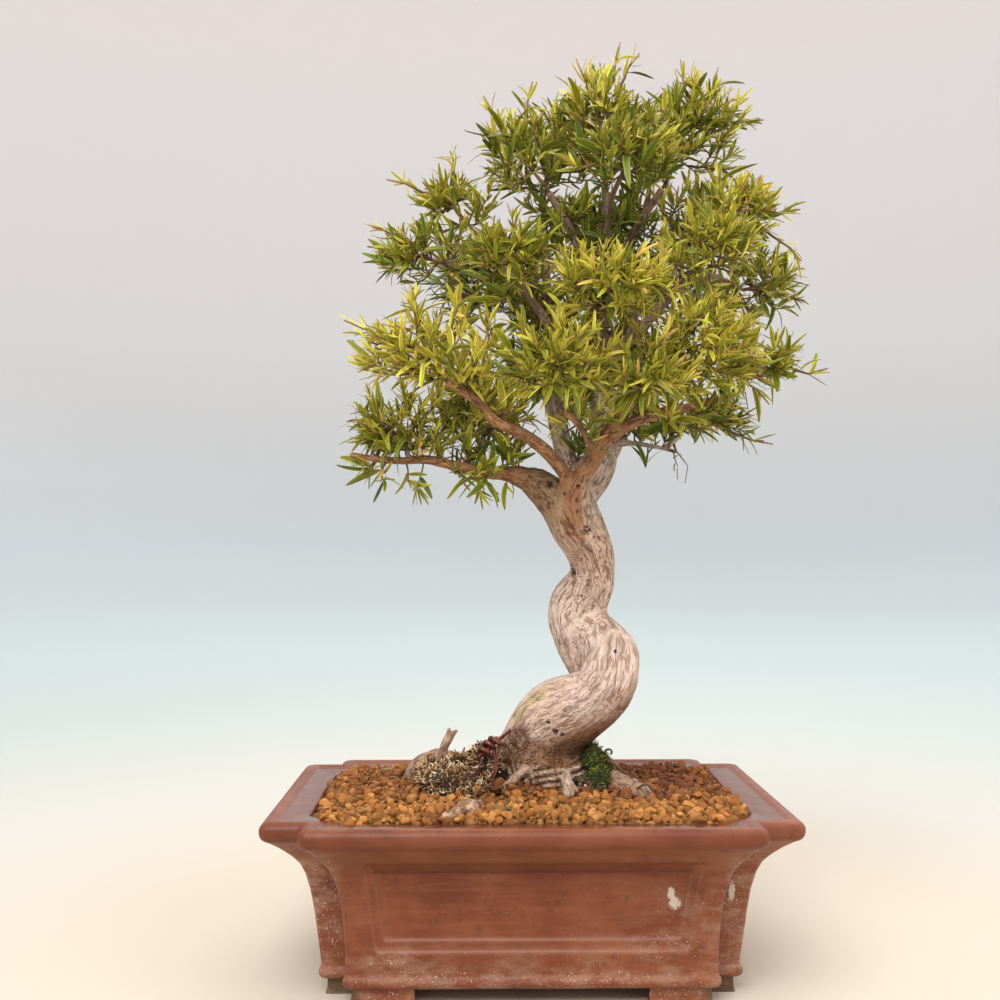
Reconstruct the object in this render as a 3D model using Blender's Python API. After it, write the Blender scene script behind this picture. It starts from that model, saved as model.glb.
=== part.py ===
"""A willow leaf fig bonsai in its notched clay pot.

The pot stands on four corner feet and is filled with clay granules. The tree's roots, coiled trunk and
limbs are one grown piece of wood. Its foliage is a set of leafy sprays, each growing from the end of a
twig. Moss, a twisted tie wire and the screens over the drain holes are pieces of their own.

Units are metres, +Z is up, the front faces -Y. Lists of limb points are in millimetres and are measured
from the pot's centre at the height of the surface that it stands on.
"""
import math
import random

import bmesh
import bpy
import numpy as np
from mathutils import Vector

MM = 0.001
GAP = 0.0003
# Meshes with few sides bulge less between their corners, so a hole is made a little larger than GAP
SEAT_GAP = 0.0004

# The middle of the whole tree and pot lies this far from the middle of the pot
POT_X = -0.0220
POT_Y = -0.0052

# Pot
RIM_HALF_WIDTH = 0.165
RIM_HALF_DEPTH = 0.125
RIM_Z = 0.113
UNDERSIDE_Z = 0.0095
FLOOR_Z = 0.0180
NOTCH_DEPTH = 0.020
# Height, how far the wall stands in from the rim's edge, and the notch's width, in millimetres
OUTER_PROFILE = [
    (9.5, 36.5, 17), (12, 33.0, 17), (16, 33.2, 17), (18, 34.3, 17), (38, 32.2, 19), (59, 29.5, 20),
    (77, 25.5, 20.5), (84.5, 22, 21), (90, 17, 22), (96, 11, 24), (100.5, 4.0, 26), (103, 0.8, 26),
    (110.5, 0.6, 26), (113, 4.5, 26), (112.6, 7.8, 26), (111.2, 10.0, 26),
]
# Height, distance in from the rim's edge and corner chamfer down the inside of the pot, in millimetres
INNER_PROFILE = [(111.2, 27, 28), (107, 28, 28), (98, 30, 36), (84, 33, 46), (18, 46, 47)]
BODY_ROWS = slice(3, 12)
PANEL_DEPTH = 0.0011
PANEL_CUTTER_REACH = 0.02
FRONT_PANELS = [(0.102, 0.095, 0.033, 0.089, 1), (0.096, 0.090, 0.040, 0.083, 2)]
SIDE_PANELS = [(0.064, 0.058, 0.033, 0.089, 1)]
FOOT_LENGTH = 0.039
FOOT_WIDTH = 0.013
FOOT_INSET = 0.0378
FOOT_NOTCH = 0.017
FOOT_TAPER = 0.002
FOOT_OVERLAP = 0.001
DRAIN_X = 0.062
DRAIN_RADIUS = 0.0125
SCREEN_SIZE = 0.036
SCREEN_THICKNESS = 0.0012
SCREEN_HOLES = 2

# Soil
SOIL_EDGE_Z = 0.1090
SOIL_RISE = 0.0055
SOIL_RISE_RADIUS = 0.075
SOIL_CELL = 0.0190
GRAIN_HEIGHT = 0.0016
# How far the uncut block of soil reaches past the pot's opening
SOIL_MARGIN = 0.007

# Wood: x, y, z and radius in millimetres from the pot's centre
TRUNK = [
    (14, 24, 62, 28), (15, 25, 90, 35), (15, 24, 106, 36), (14, 22, 123, 34), (13, 18, 141, 30),
    (20, 10, 158, 27), (35, 0, 172, 24.5), (48, -6, 182, 21.5), (56, -9, 194, 19), (59, -5, 204, 16),
]
MIDDLE_TRUNK = [
    (52, -8, 186, 13), (56, 0, 201, 18.5), (53, 13, 211, 18), (45, 26, 217, 18), (37, 34, 222, 15),
]
UPPER_TRUNK = [
    (43, 29, 204, 13), (39, 32, 217, 19.5), (38, 33, 229, 20.5), (40, 31, 240, 19.5), (46, 22, 253, 16.3),
    (47, 16, 267, 15.5), (43, 12, 278, 16.5), (35, 10, 291, 18), (31, 11, 304, 17), (33, 12, 316, 12),
]
LIMBS = {
    "left_shoulder": [
        (30, 11, 300, 15), (15, 8, 316, 13), (5, 4, 324, 10.5), (-6, 0, 328.5, 8), (-16, -3, 331, 5),
        (-50, -9, 336, 3.6), (-90, -14, 338, 2.6),
    ],
    "front_left": [
        (33, 4, 310, 9), (27, -6, 326, 6.2), (18, -13, 337, 5.5), (0, -25, 351, 4.8),
        (-22, -35, 361, 4.5), (-32, -40, 372, 4.3), (-53, -48, 385, 3.2),
    ],
    "front_right": [
        (32, 4, 307, 10), (36, -8, 323, 8), (45, -18, 338, 6.6), (59, -32, 359, 5.5), (72, -43, 370, 4.6),
        (88, -53, 381, 3.2),
    ],
    "front_mid": [(47, -20, 342, 4), (38, -28, 352, 3), (30, -40, 361, 2.6), (21, -55, 365, 2.4)],
    "leader": [
        (34, 12, 298, 14), (43, 16, 313, 13.2), (54, 25, 334, 13.5), (60, 37, 360, 11.5),
        (55, 46, 391, 9.5), (53, 46, 424, 7.4), (57, 40, 456, 5.5), (58, 36, 483, 4.4), (58, 26, 530, 3),
    ],
    "pale_back": [
        (38, 22, 316, 10), (32, 38, 336, 8), (26, 46, 358, 7), (20, 45, 388, 5.2), (17, 37, 434, 3.8),
        (15, 29, 472, 3.2), (13, 34, 516, 2.6),
    ],
    "crown_left": [
        (54, 45, 424, 5), (47, 34, 455, 3.8), (34, 19, 495, 2.9), (16, 6, 524, 2.4),
    ],
    "crown_right": [
        (55, 44, 434, 5), (66, 44, 472, 3.6), (80, 38, 506, 3), (97, 26, 532, 2.5),
    ],
    "right_up": [
        (55, 45, 400, 5), (69, 30, 420, 4.2), (95, 4, 446, 3.4), (121, -14, 472, 2.6),
    ],
    "right_back": [(58, 46, 424, 4), (80, 52, 449, 3), (99, 56, 468, 2.6), (117, 60, 492, 2.3)],
    "left_up": [
        (51, 44, 393, 5), (29, 30, 419, 3.8), (4, 11, 449, 3), (-28, -6, 484, 2.3),
    ],
    "right_low": [
        (54, -27, 352, 4.6), (79, -22, 365, 3.8), (108, -14, 372, 3.2), (134, -4, 380, 2.5),
    ],
    "right_lowest": [(59, 32, 350, 4), (74, 24, 350, 2.6), (90, 16, 348, 2.2), (104, 10, 346, 1.9)],
}
ROOTS = {
    "right_lobe": [
        (30, 20, 112, 17), (52, 14, 117, 14), (65, 0, 116, 11), (76, -12, 113, 8), (84, -24, 104, 5),
    ],
    "front_root": [
        (20, 2, 132, 12), (27, -17, 128, 7.5), (28, -29, 118, 6.5), (24, -38, 106, 6), (20, -48, 92, 4),
    ],
    "front_knob": [
        (6, 4, 128, 13), (-4, -13, 124, 7.5), (-13, -22, 118, 7), (-19, -28, 110, 6), (-26, -38, 96, 4),
    ],
    "left_lobe": [
        (8, 24, 112, 20), (-29, 30, 116, 17), (-53, 36, 118, 16), (-70, 43, 118, 15.5), (-81, 48, 110, 12),
        (-87, 51, 97, 6),
    ],
    "dead_stub": [(-57, 31, 122, 6), (-55, 29, 138, 3.4), (-56, 27, 150, 2.2)],
    "dead_fork": [(-55, 29, 138, 2.8), (-50, 26, 148, 1.7)],
    "gnarled_root": [
        (0, 0, 96, 9), (-20, -16, 104, 6), (-32, -30, 112, 5.5), (-42, -50, 111, 5.5), (-50, -70, 110, 4.5),
        (-56, -86, 105, 3),
    ],
    "buried_left": [(0, 24, 84, 22), (-40, 30, 70, 12), (-78, 40, 52, 6)],
    "buried_right": [(30, 24, 84, 22), (70, 20, 68, 12), (104, 10, 52, 6)],
}
TRUNK_SIDES = 11
LIMB_SIDES = 6
THIN_LIMB_SIDES = 4
THIN_LIMB_RADIUS = 0.0045

# Foliage: centre and half sizes in millimetres, the limb that carries it and how far along the limb
PADS = {
    "top_left": [(-5, -4, 549), (30, 30, 34), "crown_left", 1.0],
    "top_middle": [(51, 2, 582), (38, 34, 36), "leader", 1.0],
    "top_right": [(114, 0, 575), (40, 34, 34), "crown_right", 1.0],
    "top_front": [(62, -58, 530), (38, 32, 28), "leader", 0.86],
    "top_back": [(88, 62, 580), (40, 36, 34), "crown_right", 0.78],
    "top_back_left": [(20, 58, 570), (38, 34, 36), "pale_back", 1.0],
    "right_high": [(148, -12, 514), (34, 32, 30), "right_up", 1.0],
    "right_side": [(168, 24, 461), (28, 32, 30), "right_up", 0.8],
    "right_high_back": [(134, 68, 522), (36, 36, 32), "right_back", 1.0],
    "right_front": [(112, -60, 402), (44, 36, 38), "front_right", 1.0],
    "right_tip": [(164, -6, 402), (30, 28, 22), "right_low", 1.0],
    "right_low_pad": [(124, 18, 354), (42, 32, 26), "right_lowest", 1.0],
    "right_back_pad": [(134, 92, 462), (36, 34, 36), "right_back", 0.72],
    "right_front_high": [(118, -66, 468), (36, 30, 30), "right_up", 0.62],
    "left_high": [(-60, 0, 519), (30, 32, 26), "left_up", 1.0],
    "left_middle": [(-74, -12, 475), (34, 34, 26), "left_up", 0.8],
    "left_front": [(-70, -52, 409), (48, 34, 32), "front_left", 1.0],
    "left_low": [(-92, -6, 350), (38, 34, 34), "left_shoulder", 1.0],
    "left_inner": [(-36, 34, 372), (40, 34, 30), "left_shoulder", 0.45],
    "left_back": [(-36, 72, 474), (38, 38, 40), "pale_back", 0.6],
    "front_high": [(48, -92, 440), (46, 34, 28), "right_up", 0.3],
    "front_left_middle": [(14, -100, 388), (38, 32, 30), "front_mid", 1.0],
    "front_right_middle": [(72, -86, 380), (32, 30, 24), "front_right", 0.8],
    "back_high": [(58, 100, 520), (44, 36, 34), "leader", 0.72],
    "back_left": [(20, 92, 420), (42, 36, 38), "pale_back", 0.35],
    "back_right": [(90, 104, 416), (44, 36, 38), "leader", 0.5],
    "front_left_high": [(-14, -66, 462), (36, 32, 28), "left_up", 0.55],
}
TWIG_RADIUS = (2.3, 1.9, 1.6)
STEM_RADIUS = (1.5, 1.4, 1.1)
STEM_SIDES = 4
BRANCHLET_RADIUS = (1.3, 1.1, 0.8)
BRANCHLET_SIDES = 3
BRANCHLETS = 4
LEAVES_PER_SPRAY = 14
LEAF_TRIES = 420
LEAF_LENGTH = (24, 33)
LEAF_WIDTH = (5.4, 6.8)
LEAF_KEEL = 1.1
LEAF_ARCH = 0.16
# Share of the length, half width and keel depth at each station of a blade, as shares of the whole
FULL_BLADE = [(0.40, 0.50, 1.0), (0.72, 0.40, 0.85)]
PLAIN_BLADE = [(0.48, 0.50, 1.0)]
LEAF_CLEARANCE = 0.5
# How far past its foot a blade starts to keep its distance, and the distances between blades
BLADE_FOOT = 4
BLADE_SPACING = 5.5
BLADE_FOOT_SPACING = 2.6
# Where blades stand along a stem: the first share, the step to the next and the scatter
BLADE_PLACES = (0.97, 0.115, 0.03)
BLADE_ROWS = 8
# The steepest angle that a blade may make with the side it faces, as a cosine
STEEPEST_BLADE = 0.93
# Sizes tried for a branchlet, as shares of the spray's half size
BRANCHLET_REACHES = (0.7, 0.58, 0.46, 0.34)
GOLDEN_ANGLE = math.radians(137.5)

# Moss, wires
GREEN_MOSS = ((54, 20, 122), (13, 15, 17))
DRY_MOSS = ((-47, 4, 117), (30, 21, 15))
MOSS_BUMP = 0.16
WIRE_SIDES = 5
TIE_WIRE = [
    (-23, -7, 104, 0.9), (-23, -7, 118, 0.9), (-24, -7, 126, 0.9), (-26, -7, 134, 0.9),
    (-27, -6, 141, 0.9), (-24, -6, 145, 0.9), (-20, -6, 144, 0.9), (-20, -7, 139, 0.9),
    (-24, -9, 135, 0.9), (-31, -12, 135, 0.9), (-37, -15, 134, 0.9),
]
WIRE_END = [
    (66, 34, 100, 0.8), (66, 33, 118, 0.8), (65, 32, 128, 0.8), (67, 31, 134, 0.8), (71, 30, 135, 0.8),
    (73, 30, 131, 0.8), (72, 30, 127, 0.8),
]

COLOURS = {
    "clay": ((0.26, 0.09, 0.065), 0.55),
    "soil": ((0.50, 0.25, 0.09), 0.95),
    "bark": ((0.55, 0.44, 0.36), 0.8),
    "leaf": ((0.16, 0.26, 0.045), 0.5),
    "green_moss": ((0.08, 0.18, 0.03), 0.9),
    "dry_moss": ((0.33, 0.30, 0.24), 0.95),
    "tie_wire": ((0.33, 0.10, 0.06), 0.5),
    "dark_wire": ((0.05, 0.04, 0.035), 0.5),
    "screen": ((0.03, 0.03, 0.03), 0.6),
}


def material(name):
    """The named material, made the first time that it is asked for."""
    if name in bpy.data.materials:
        return bpy.data.materials[name]
    made = bpy.data.materials.new(name)
    made.use_nodes = True
    shader = made.node_tree.nodes["Principled BSDF"]
    colour, roughness = COLOURS[name]
    shader.inputs["Base Color"].default_value = (*colour, 1)
    shader.inputs["Roughness"].default_value = roughness
    return made


def solid(name, points, faces, colour):
    """An object from points and faces, with its faces turned outwards."""
    mesh = bpy.data.meshes.new(name)
    mesh.from_pydata([tuple(p) for p in points], [], faces)
    work = bmesh.new()
    work.from_mesh(mesh)
    bmesh.ops.recalc_face_normals(work, faces=work.faces)
    work.to_mesh(mesh)
    work.free()
    piece = bpy.data.objects.new(name, mesh)
    piece.data.materials.append(material(colour))
    bpy.context.scene.collection.objects.link(piece)
    return piece


def evaluated(piece):
    """Replaces an object's mesh by what its modifiers make of it."""
    graph = bpy.context.evaluated_depsgraph_get()
    mesh = bpy.data.meshes.new_from_object(piece.evaluated_get(graph))
    piece.modifiers.clear()
    old = piece.data
    piece.data = mesh
    bpy.data.meshes.remove(old)


def tidy(piece):
    """Triangulates a piece and drops loose scraps, so that one closed body is left."""
    work = bmesh.new()
    work.from_mesh(piece.data)
    bmesh.ops.triangulate(work, faces=work.faces)
    unseen = set(work.verts)
    islands = []
    while unseen:
        island = [unseen.pop()]
        for point in island:
            for edge in point.link_edges:
                other = edge.other_vert(point)
                if other in unseen:
                    unseen.remove(other)
                    island.append(other)
        islands.append(island)
    islands.sort(key=len)
    for island in islands[:-1]:
        bmesh.ops.delete(work, geom=island, context="VERTS")
    bmesh.ops.recalc_face_normals(work, faces=work.faces)
    work.to_mesh(piece.data)
    work.free()


def combine(piece, others, operation):
    """Joins others to piece, or cuts them from it, in one Boolean, and removes them."""
    group = bpy.data.collections.new("operands")
    for other in others:
        group.objects.link(other)
    cut = piece.modifiers.new("combine", "BOOLEAN")
    cut.operation = operation
    cut.operand_type = "COLLECTION"
    cut.collection = group
    cut.solver = "EXACT"
    evaluated(piece)
    for other in others:
        mesh = other.data
        bpy.data.objects.remove(other)
        bpy.data.meshes.remove(mesh)
    bpy.data.collections.remove(group)
    tidy(piece)


def smooth_path(rows, steps):
    """Points and radii on a Catmull-Rom curve through the rows, with that many steps between two rows."""
    rows = np.asarray(rows, float)
    ends = np.vstack([2 * rows[0] - rows[1], rows, 2 * rows[-1] - rows[-2]])
    out = []
    for i in range(len(rows) - 1):
        a, b, c, d = ends[i:i + 4]
        for t in np.arange(steps) / steps:
            out.append(0.5 * (2 * b + (c - a) * t + (2 * a - 5 * b + 4 * c - d) * t * t
                              + (3 * b - a - 3 * c + d) * t ** 3))
    out.append(rows[-1])
    return np.array(out)


def frames(points):
    """A direction and two cross directions at each point, carried along the path without twisting."""
    along = np.gradient(points, axis=0)
    along /= np.linalg.norm(along, axis=1)[:, None]
    side = np.cross(along[0], (0.3, -1.0, 0.2))
    sides = []
    for direction in along:
        side = side - direction * side.dot(direction)
        side = side / np.linalg.norm(side)
        sides.append(side)
    sides = np.array(sides)
    return along, sides, np.cross(along, sides)


def tube(name, rows, sides, colour, steps=1, grow=0.0, section=None, split=False):
    """A tube along rows of x, y, z and radius in millimetres; grow makes it fatter and longer."""
    path = smooth_path(rows, steps) * MM if steps > 1 else np.asarray(rows, float) * MM
    points, radii = path[:, :3].copy(), path[:, 3] + grow
    along, right, up = frames(points)
    points[0] -= along[0] * grow
    points[-1] += along[-1] * grow
    turn = np.arange(sides) * 2 * math.pi / sides
    height = np.arange(len(points))[:, None] / steps
    factor = section(turn[None, :], height) if section else 1.0
    reach = (radii[:, None] * factor)[:, :, None] if section else radii[:, None, None]
    ring = points[:, None] + reach * (np.cos(turn)[None, :, None] * right[:, None]
                                      + np.sin(turn)[None, :, None] * up[:, None])
    count = len(points)
    vertices = list(ring.reshape(-1, 3))
    last = count - 1
    faces = [tuple(range(sides)), tuple(last * sides + k for k in range(sides))]
    for i in range(last):
        for k in range(sides):
            a, b = i * sides + k, i * sides + (k + 1) % sides
            # A tube that gets a hole is split here, so that the hole has its folds in the same places
            if split:
                faces += [(a, b, b + sides), (a, b + sides, a + sides)]
            else:
                faces.append((a, b, b + sides, a + sides))
    return solid(name, vertices, faces, colour)


def notched(inset, notch, z):
    """The pot's outline at one height: a rectangle whose corners are stepped in."""
    a, b = RIM_HALF_WIDTH - inset, RIM_HALF_DEPTH - inset
    quarter = [(a, b - NOTCH_DEPTH), (a - notch, b - NOTCH_DEPTH), (a - notch, b)]
    return quarter_turned(quarter, z)


def chamfered(inset, c, z):
    """The outline of the pot's inside at one height: a rectangle with rounded chamfers of size c."""
    a, b = RIM_HALF_WIDTH - inset, RIM_HALF_DEPTH - inset
    quarter = [(a, b - c), (a - 0.32 * c, b - 0.32 * c), (a - c, b)]
    return quarter_turned(quarter, z)


def quarter_turned(quarter, z):
    """Mirrors a quarter outline into the other three, going round once."""
    second = [(-x, y) for x, y in reversed(quarter)]
    third = [(-x, -y) for x, y in quarter]
    fourth = [(x, -y) for x, y in reversed(quarter)]
    return [(x, y, z) for x, y in quarter + second + third + fourth]


def loft(name, outlines, colour):
    """A closed solid through a stack of outlines with equal point counts."""
    count = len(outlines[0])
    vertices = [p for outline in outlines for p in outline]
    faces = [tuple(range(count)), tuple((len(outlines) - 1) * count + k for k in range(count))]
    for i in range(len(outlines) - 1):
        for k in range(count):
            a, b = i * count + k, i * count + (k + 1) % count
            faces.append((a, b, b + count, a + count))
    return solid(name, vertices, faces, colour)


def wall_inset(z):
    """How far the pot's outer wall stands in at a height, from its profile."""
    heights = [row[0] for row in OUTER_PROFILE[BODY_ROWS]]
    insets = [row[1] for row in OUTER_PROFILE[BODY_ROWS]]
    return float(np.interp(z / MM, heights, insets)) * MM


def panel_cutter(name, top, bottom, low, high, depth, half, along_x):
    """A slab whose inner face follows the wall at a small depth, to press one panel into it."""
    rows = []
    heights = [low] + [row[0] * MM for row in OUTER_PROFILE if low + MM < row[0] * MM < high - MM] + [high]
    for z in heights:
        width = bottom + (top - bottom) * (z - low) / (high - low)
        inner = half - wall_inset(z) - depth
        for reach in (inner, half + PANEL_CUTTER_REACH):
            for s in (-width, width):
                rows.append((s, -reach, z) if along_x else (reach, s, z))
    last = 4 * (len(heights) - 1)
    faces = [(0, 1, 3, 2), (last, last + 1, last + 3, last + 2)]
    for i in range(len(heights) - 1):
        k = i * 4
        for a, b in ((0, 1), (1, 3), (3, 2), (2, 0)):
            faces.append((k + a, k + b, k + b + 4, k + a + 4))
    return solid(name, rows, faces, "clay")


def turned_panel(cutter, side):
    """Copies a panel cutter to the opposite wall."""
    copy = cutter.copy()
    copy.data = cutter.data.copy()
    bpy.context.scene.collection.objects.link(copy)
    for point in copy.data.vertices:
        point.co = (point.co.x * side[0], point.co.y * side[1], point.co.z)
    copy.data.flip_normals()
    return copy


def pot():
    """The clay pot: a lofted shell, L-shaped feet, pressed panels and two drain holes."""
    outside = [notched(inset * MM, notch * MM, z * MM) for z, inset, notch in OUTER_PROFILE]
    inside = [chamfered(inset * MM, c * MM, z * MM) for z, inset, c in INNER_PROFILE]
    shell = loft("pot", outside + inside, "clay")
    feet = []
    for sx in (-1, 1):
        for sy in (-1, 1):
            a, b = RIM_HALF_WIDTH - FOOT_INSET, RIM_HALF_DEPTH - FOOT_INSET
            nx, ny = FOOT_NOTCH, NOTCH_DEPTH
            outline = [
                (a - nx, b), (a - nx - FOOT_LENGTH, b),
                (a - nx - FOOT_LENGTH + FOOT_TAPER, b - FOOT_WIDTH),
                (a - nx - FOOT_WIDTH, b - FOOT_WIDTH), (a - nx - FOOT_WIDTH, b - ny - FOOT_WIDTH),
                (a - FOOT_WIDTH, b - ny - FOOT_WIDTH),
                (a - FOOT_WIDTH, b - ny - FOOT_LENGTH + FOOT_TAPER),
                (a, b - ny - FOOT_LENGTH), (a, b - ny), (a - nx, b - ny),
            ]
            rings = [[(x * sx, y * sy, z) for x, y in outline] for z in (0.0, UNDERSIDE_Z + FOOT_OVERLAP)]
            feet.append(loft("foot", rings, "clay"))
    combine(shell, feet, "UNION")
    cutters = []
    for top, bottom, low, high, steps in FRONT_PANELS:
        front = panel_cutter("panel", top, bottom, low, high, PANEL_DEPTH * steps, RIM_HALF_DEPTH, True)
        cutters += [front, turned_panel(front, (1, -1))]
    for top, bottom, low, high, steps in SIDE_PANELS:
        right = panel_cutter("panel", top, bottom, low, high, PANEL_DEPTH * steps, RIM_HALF_WIDTH, False)
        cutters += [right, turned_panel(right, (-1, 1))]
    for sx in (-1, 1):
        turn = [k * math.pi / 8 for k in range(16)]
        rings = [[(sx * DRAIN_X + DRAIN_RADIUS * math.cos(t), DRAIN_RADIUS * math.sin(t), z) for t in turn]
                 for z in (UNDERSIDE_Z / 2, FLOOR_Z + UNDERSIDE_Z / 2)]
        cutters.append(loft("drain", rings, "clay"))
    combine(shell, cutters, "DIFFERENCE")
    return shell


def screens():
    """A plastic mesh screen over each drain hole, lying on the pot's floor."""
    made = []
    cells = 2 * SCREEN_HOLES + 1
    for name, x in (("drain_screen_left", -DRAIN_X), ("drain_screen_right", DRAIN_X)):
        work = bmesh.new()
        bmesh.ops.create_grid(work, x_segments=cells, y_segments=cells, size=SCREEN_SIZE / 2)
        work.faces.ensure_lookup_table()
        pitch = SCREEN_SIZE / cells
        holes = []
        for face in work.faces:
            middle = face.calc_center_median() / pitch
            column, row = (math.floor(v + cells / 2) for v in (middle.x, middle.y))
            if column % 2 and row % 2:
                holes.append(face)
        bmesh.ops.delete(work, geom=holes, context="FACES")
        grown = bmesh.ops.extrude_face_region(work, geom=work.faces[:])
        top = [item for item in grown["geom"] if isinstance(item, bmesh.types.BMVert)]
        bmesh.ops.translate(work, verts=top, vec=(0, 0, SCREEN_THICKNESS))
        bmesh.ops.translate(work, verts=work.verts, vec=(x, 0, FLOOR_Z + GAP))
        bmesh.ops.recalc_face_normals(work, faces=work.faces)
        mesh = bpy.data.meshes.new(name)
        work.to_mesh(mesh)
        work.free()
        mesh.materials.append(material("screen"))
        piece = bpy.data.objects.new(name, mesh)
        bpy.context.scene.collection.objects.link(piece)
        made.append(piece)
    return made


def bark(turn, height):
    """How the trunk's section swells: flutes that wind up the trunk, and slow swellings along it."""
    return (1 + 0.045 * np.sin(3 * turn + 0.55 * height) + 0.035 * np.sin(5 * turn - 0.8 * height + 1.0)
            + 0.02 * np.sin(1.9 * height + turn))


def wood_tubes(colour, grow, buried_only=False):
    """Every tube of the wood: trunk, roots, limbs and the twigs that carry the foliage."""
    tubes = [tube("wood", TRUNK, TRUNK_SIDES, colour, 2, grow, bark, True)]
    for rows in (MIDDLE_TRUNK, UPPER_TRUNK):
        tubes.append(tube("trunk", rows, TRUNK_SIDES, colour, 2, grow, bark))
    for name, rows in ROOTS.items():
        tubes.append(tube(name, rows, LIMB_SIDES, colour, 1, grow, None, True))
    if buried_only:
        return tubes
    for name, rows in LIMBS.items():
        sides = LIMB_SIDES if rows[1][3] * MM > THIN_LIMB_RADIUS else THIN_LIMB_SIDES
        tubes.append(tube(name, rows, sides, colour, 1, grow))
    for name, (centre, size, limb, share) in PADS.items():
        if share < 1.0:
            tubes.append(tube(name, carrying_twig(name), THIN_LIMB_SIDES, colour, 1, grow))
    return tubes


def limb_point(limb, share):
    """The point at a share of a limb's length, its radius there and the limb's direction."""
    rows = np.asarray(LIMBS[limb], float)
    lengths = np.concatenate([[0], np.cumsum(np.linalg.norm(np.diff(rows[:, :3], axis=0), axis=1))])
    place = share * lengths[-1]
    row = np.array([np.interp(place, lengths, rows[:, k]) for k in range(4)])
    i = min(int(np.searchsorted(lengths, place, side="right")), len(rows) - 1)
    direction = rows[i, :3] - rows[i - 1, :3]
    return row, direction / np.linalg.norm(direction)


def carrying_twig(pad):
    """The twig from a limb to where a pad's spray begins."""
    centre, size, limb, share = PADS[pad]
    start, along = limb_point(limb, share)
    centre = np.asarray(centre, float)
    reach = centre - start[:3]
    distance = np.linalg.norm(reach)
    outward = reach / distance
    stop = start[:3] + outward * max(distance - 0.72 * min(size), 0.35 * distance)
    middle = start[:3] + (stop - start[:3]) * 0.5 + (along - outward) * 0.12 * distance + (0, 0, 2)
    first = min(TWIG_RADIUS[0], start[3] * 0.8)
    return [(*start[:3], first), (*middle, TWIG_RADIUS[1]), (*stop, TWIG_RADIUS[2])]


def spray_root(pad):
    """Where a spray begins and which way it leaves: the flat end of its twig or limb."""
    limb, share = PADS[pad][2:]
    rows = LIMBS[limb] if share == 1.0 else carrying_twig(pad)
    end, before = np.asarray(rows[-1], float), np.asarray(rows[-2], float)
    direction = end[:3] - before[:3]
    return end[:3], direction / np.linalg.norm(direction)


def segment_distances(a, b, starts, ends):
    """The distance from the segment a to b to each of many segments, sampled along both."""
    steps = np.linspace(0, 1, 5)
    mine = a + (b - a) * steps[:, None]
    reach = ends - starts
    square = np.maximum((reach ** 2).sum(axis=1), 1e-9)
    best = np.full(len(starts), np.inf)
    for point in mine:
        along = np.clip(((point - starts) * reach).sum(axis=1) / square, 0, 1)
        near = starts + reach * along[:, None]
        best = np.minimum(best, np.linalg.norm(near - point, axis=1))
    return best


class Space:
    """The room already taken, as capsules with an owner each."""

    def __init__(self):
        self.starts, self.ends, self.radii, self.owners = [], [], [], []

    def take(self, owner, a, b, radius):
        """Notes the capsule from a to b as the owner's."""
        self.starts.append(a)
        self.ends.append(b)
        self.radii.append(radius)
        self.owners.append(owner)

    def clear(self, owner, a, b, radius):
        """True where the capsule from a to b misses those of every other owner."""
        starts, ends = np.array(self.starts), np.array(self.ends)
        gaps = segment_distances(a, b, starts, ends) - radius - np.array(self.radii)
        others = np.array([name != owner for name in self.owners])
        return not np.any(gaps[others] < LEAF_CLEARANCE)


def spread_directions(count, forward, rng):
    """Directions spread evenly over the part of a ball that looks forward, by the golden angle."""
    forward = forward / np.linalg.norm(forward)
    side = np.cross(forward, (0.2, 0.1, 1.0))
    side /= np.linalg.norm(side)
    up = np.cross(side, forward)
    start = rng.random() * 2 * math.pi
    found = []
    for k in range(count):
        height = 0.95 - 1.25 * (k + 0.5) / count
        ring = math.sqrt(1 - height * height)
        angle = start + k * GOLDEN_ANGLE
        found.append(forward * height + (side * math.cos(angle) + up * math.sin(angle)) * ring)
    return found


def grow_stem(pad, space, rng):
    """The rows of a spray's stem and its branchlets, kept clear of what stands near."""
    centre, size = (np.asarray(v, float) for v in PADS[pad][:2])
    root, leaving = spray_root(pad)
    start = root + leaving * (GAP / MM)
    towards = centre - start
    distance = np.linalg.norm(towards)
    forward = towards / distance
    stem_end = centre + forward * 0.25 * min(size)
    base = start + leaving * STEM_RADIUS[0] * 2
    bend = base + leaving * 0.3 * distance + (stem_end - base) * 0.15
    stem = [(*start, STEM_RADIUS[0]), (*base, STEM_RADIUS[0]), (*bend, STEM_RADIUS[1])]
    stem.append((*stem_end, STEM_RADIUS[2]))
    for a, b in ((base, bend), (bend, stem_end)):
        space.take(pad, a, b, STEM_RADIUS[0])
    branchlets = []
    for k, way in enumerate(spread_directions(BRANCHLETS, forward, rng)):
        share = 0.15 + 0.8 * (k + 0.5) / BRANCHLETS
        foot = bend + (stem_end - bend) * share
        for shrink in BRANCHLET_REACHES:
            tip = centre + way * size * shrink
            tip[2] += 2
            knee = foot + (tip - foot) * 0.5 + (0, 0, -1.5)
            if space.clear(pad, knee, tip, 1.5) and space.clear(pad, foot, knee, 1.2):
                points = (foot, knee, tip)
                branchlets.append([(*p, r) for p, r in zip(points, BRANCHLET_RADIUS)])
                space.take(pad, foot, knee, BRANCHLET_RADIUS[0])
                space.take(pad, knee, tip, BRANCHLET_RADIUS[1])
                break
    return stem, branchlets


def leaf_points(foot, way, face, length, width, stations):
    """A blade's points: root, a three-cornered section at each station, and tip, arching down."""
    across = np.cross(way, face)
    across /= np.linalg.norm(across)
    face = np.cross(across, way)

    def place(share):
        return foot + way * length * share - face * length * LEAF_ARCH * share * share

    points = [foot]
    for share, wide, deep in stations:
        middle = place(share)
        half = across * width * wide
        points += [middle + half, middle - half, middle - face * LEAF_KEEL * deep]
    points.append(place(1.0))
    return points


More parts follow.
